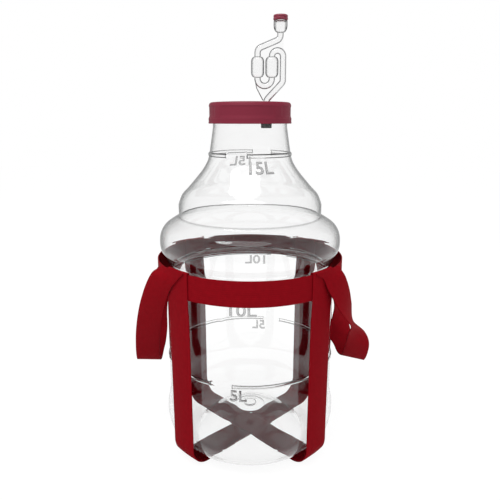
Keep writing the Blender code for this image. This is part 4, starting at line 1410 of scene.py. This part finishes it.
def floor_material():
    """A pale floor that shows white to the camera and keeps a faint shadow."""
    material, tree, shader = new_material("pale_floor")
    feed(tree, shader, {"Base Color": (0.9, 0.9, 0.9, 1.0), "Roughness": 0.9,
                        "Specular IOR Level": 0.0})
    place = tree.nodes.new("ShaderNodeTexCoord")
    reach = add_node(tree, "ShaderNodeVectorMath", {0: place.outputs["Object"]},
                     operation="LENGTH")
    near = add_node(tree, "ShaderNodeMapRange",
                    {"Value": reach.outputs["Value"], "From Min": 1.1, "From Max": 0.7})
    far_level, near_level = (seen_level(tree, FLOOR_GLOW, mirrored_level, 0.2, 0.2)
                             for mirrored_level in (0.5, 1.0))
    level = add_node(tree, "ShaderNodeMix",
                     {"Factor": near.outputs["Result"], "A": far_level, "B": near_level})
    glow = add_node(tree, "ShaderNodeEmission", {"Strength": level.outputs["Result"]})
    path = tree.nodes.new("ShaderNodeLightPath")
    seen = math_node(tree, "MAXIMUM", path.outputs["Is Camera Ray"],
                     path.outputs["Is Transmission Ray"])
    seen = math_node(tree, "MAXIMUM", seen, path.outputs["Is Glossy Ray"])
    mix_surface(tree, math_node(tree, "MULTIPLY", seen, FLOOR_GLOW_SHARE), shader, glow)
    return material


def add_softbox(name, place, target, size, power, mirrored_in_gloss):
    """An oval area light that points at a target."""
    data = bpy.data.lights.new(name, "AREA")
    data.shape = "ELLIPSE"
    data.size, data.size_y = size
    data.energy = power
    light = bpy.data.objects.new(name, data)
    bpy.context.scene.collection.objects.link(light)
    light.visible_glossy = mirrored_in_gloss
    light.visible_transmission = False
    light.location = place
    light.rotation_euler = (Vector(target) - Vector(place)).to_track_quat("-Z", "Y").to_euler()


class CARBOY_OT_stage(bpy.types.Operator):
    """Set the pale floor, the soft light and the camera at the photograph's angle"""

    bl_idname = "carboy.stage"
    bl_label = "Stage"

    def execute(self, context):
        settings = context.scene.carboy_stage
        to_object_mode()
        bpy.ops.mesh.primitive_plane_add(size=settings.floor_size, location=(0.0, 0.0, -0.0002))
        floor = name_piece("floor")
        floor.data.materials.append(floor_material())
        white_backdrop_world(settings.fill)
        middle = (0.0, 0.0, 0.3)
        add_softbox("key", (-0.56, -0.45, 1.51), middle, (0.4, 0.4), settings.key_power, True)
        add_softbox("front", (-0.12, -0.62, 1.56), middle, (1.3, 0.8),
                    settings.key_power * 2.0, True)
        add_softbox("rim", (0.95, 0.85, 0.95), middle, (0.5, 0.8), settings.key_power, False)
        data = bpy.data.cameras.new("camera")
        data.lens = CAMERA_LENS
        data.shift_y = CAMERA_SHIFT
        data.clip_start = 0.01
        camera = bpy.data.objects.new("camera", data)
        context.scene.collection.objects.link(camera)
        camera.location = CAMERA_PLACE
        camera.rotation_euler = (math.radians(90.0 - CAMERA_PITCH), 0.0, 0.0)
        context.scene.camera = camera
        context.scene.view_settings.view_transform = "Standard"
        return {"FINISHED"}


class CARBOY_PT_panel(bpy.types.Panel):
    """Lists the carboy's operators and their settings"""

    bl_idname = "CARBOY_PT_panel"
    bl_label = "Carboy"
    bl_space_type = "VIEW_3D"
    bl_region_type = "UI"
    bl_category = "Carboy"

    def draw(self, context):
        for operator, group, settings in STEPS:
            box = self.layout.box()
            box.operator(operator.bl_idname)
            for name in settings.__annotations__:
                box.prop(getattr(context.scene, group), name)


STEPS = (
    (CARBOY_OT_bottle, "carboy_bottle", BottleSettings),
    (CARBOY_OT_closure, "carboy_closure", ClosureSettings),
    (CARBOY_OT_lock, "carboy_lock", LockSettings),
    (CARBOY_OT_webbing, "carboy_webbing", WebbingSettings),
    (CARBOY_OT_stage, "carboy_stage", StageSettings),
)


def register():
    """Register the settings, the operators and the panel."""
    for operator, group, settings in STEPS:
        bpy.utils.register_class(settings)
        setattr(bpy.types.Scene, group, bpy.props.PointerProperty(type=settings))
        bpy.utils.register_class(operator)
    bpy.utils.register_class(CARBOY_PT_panel)


def unregister():
    """Take out what register adds."""
    bpy.utils.unregister_class(CARBOY_PT_panel)
    for operator, group, settings in reversed(STEPS):
        bpy.utils.unregister_class(operator)
        delattr(bpy.types.Scene, group)
        bpy.utils.unregister_class(settings)


def main():
    register()
    bpy.ops.carboy.stage()
    bpy.ops.carboy.bottle()
    bpy.ops.carboy.closure()
    bpy.ops.carboy.lock()
    bpy.ops.carboy.webbing()


if __name__ == "__main__":
    main()
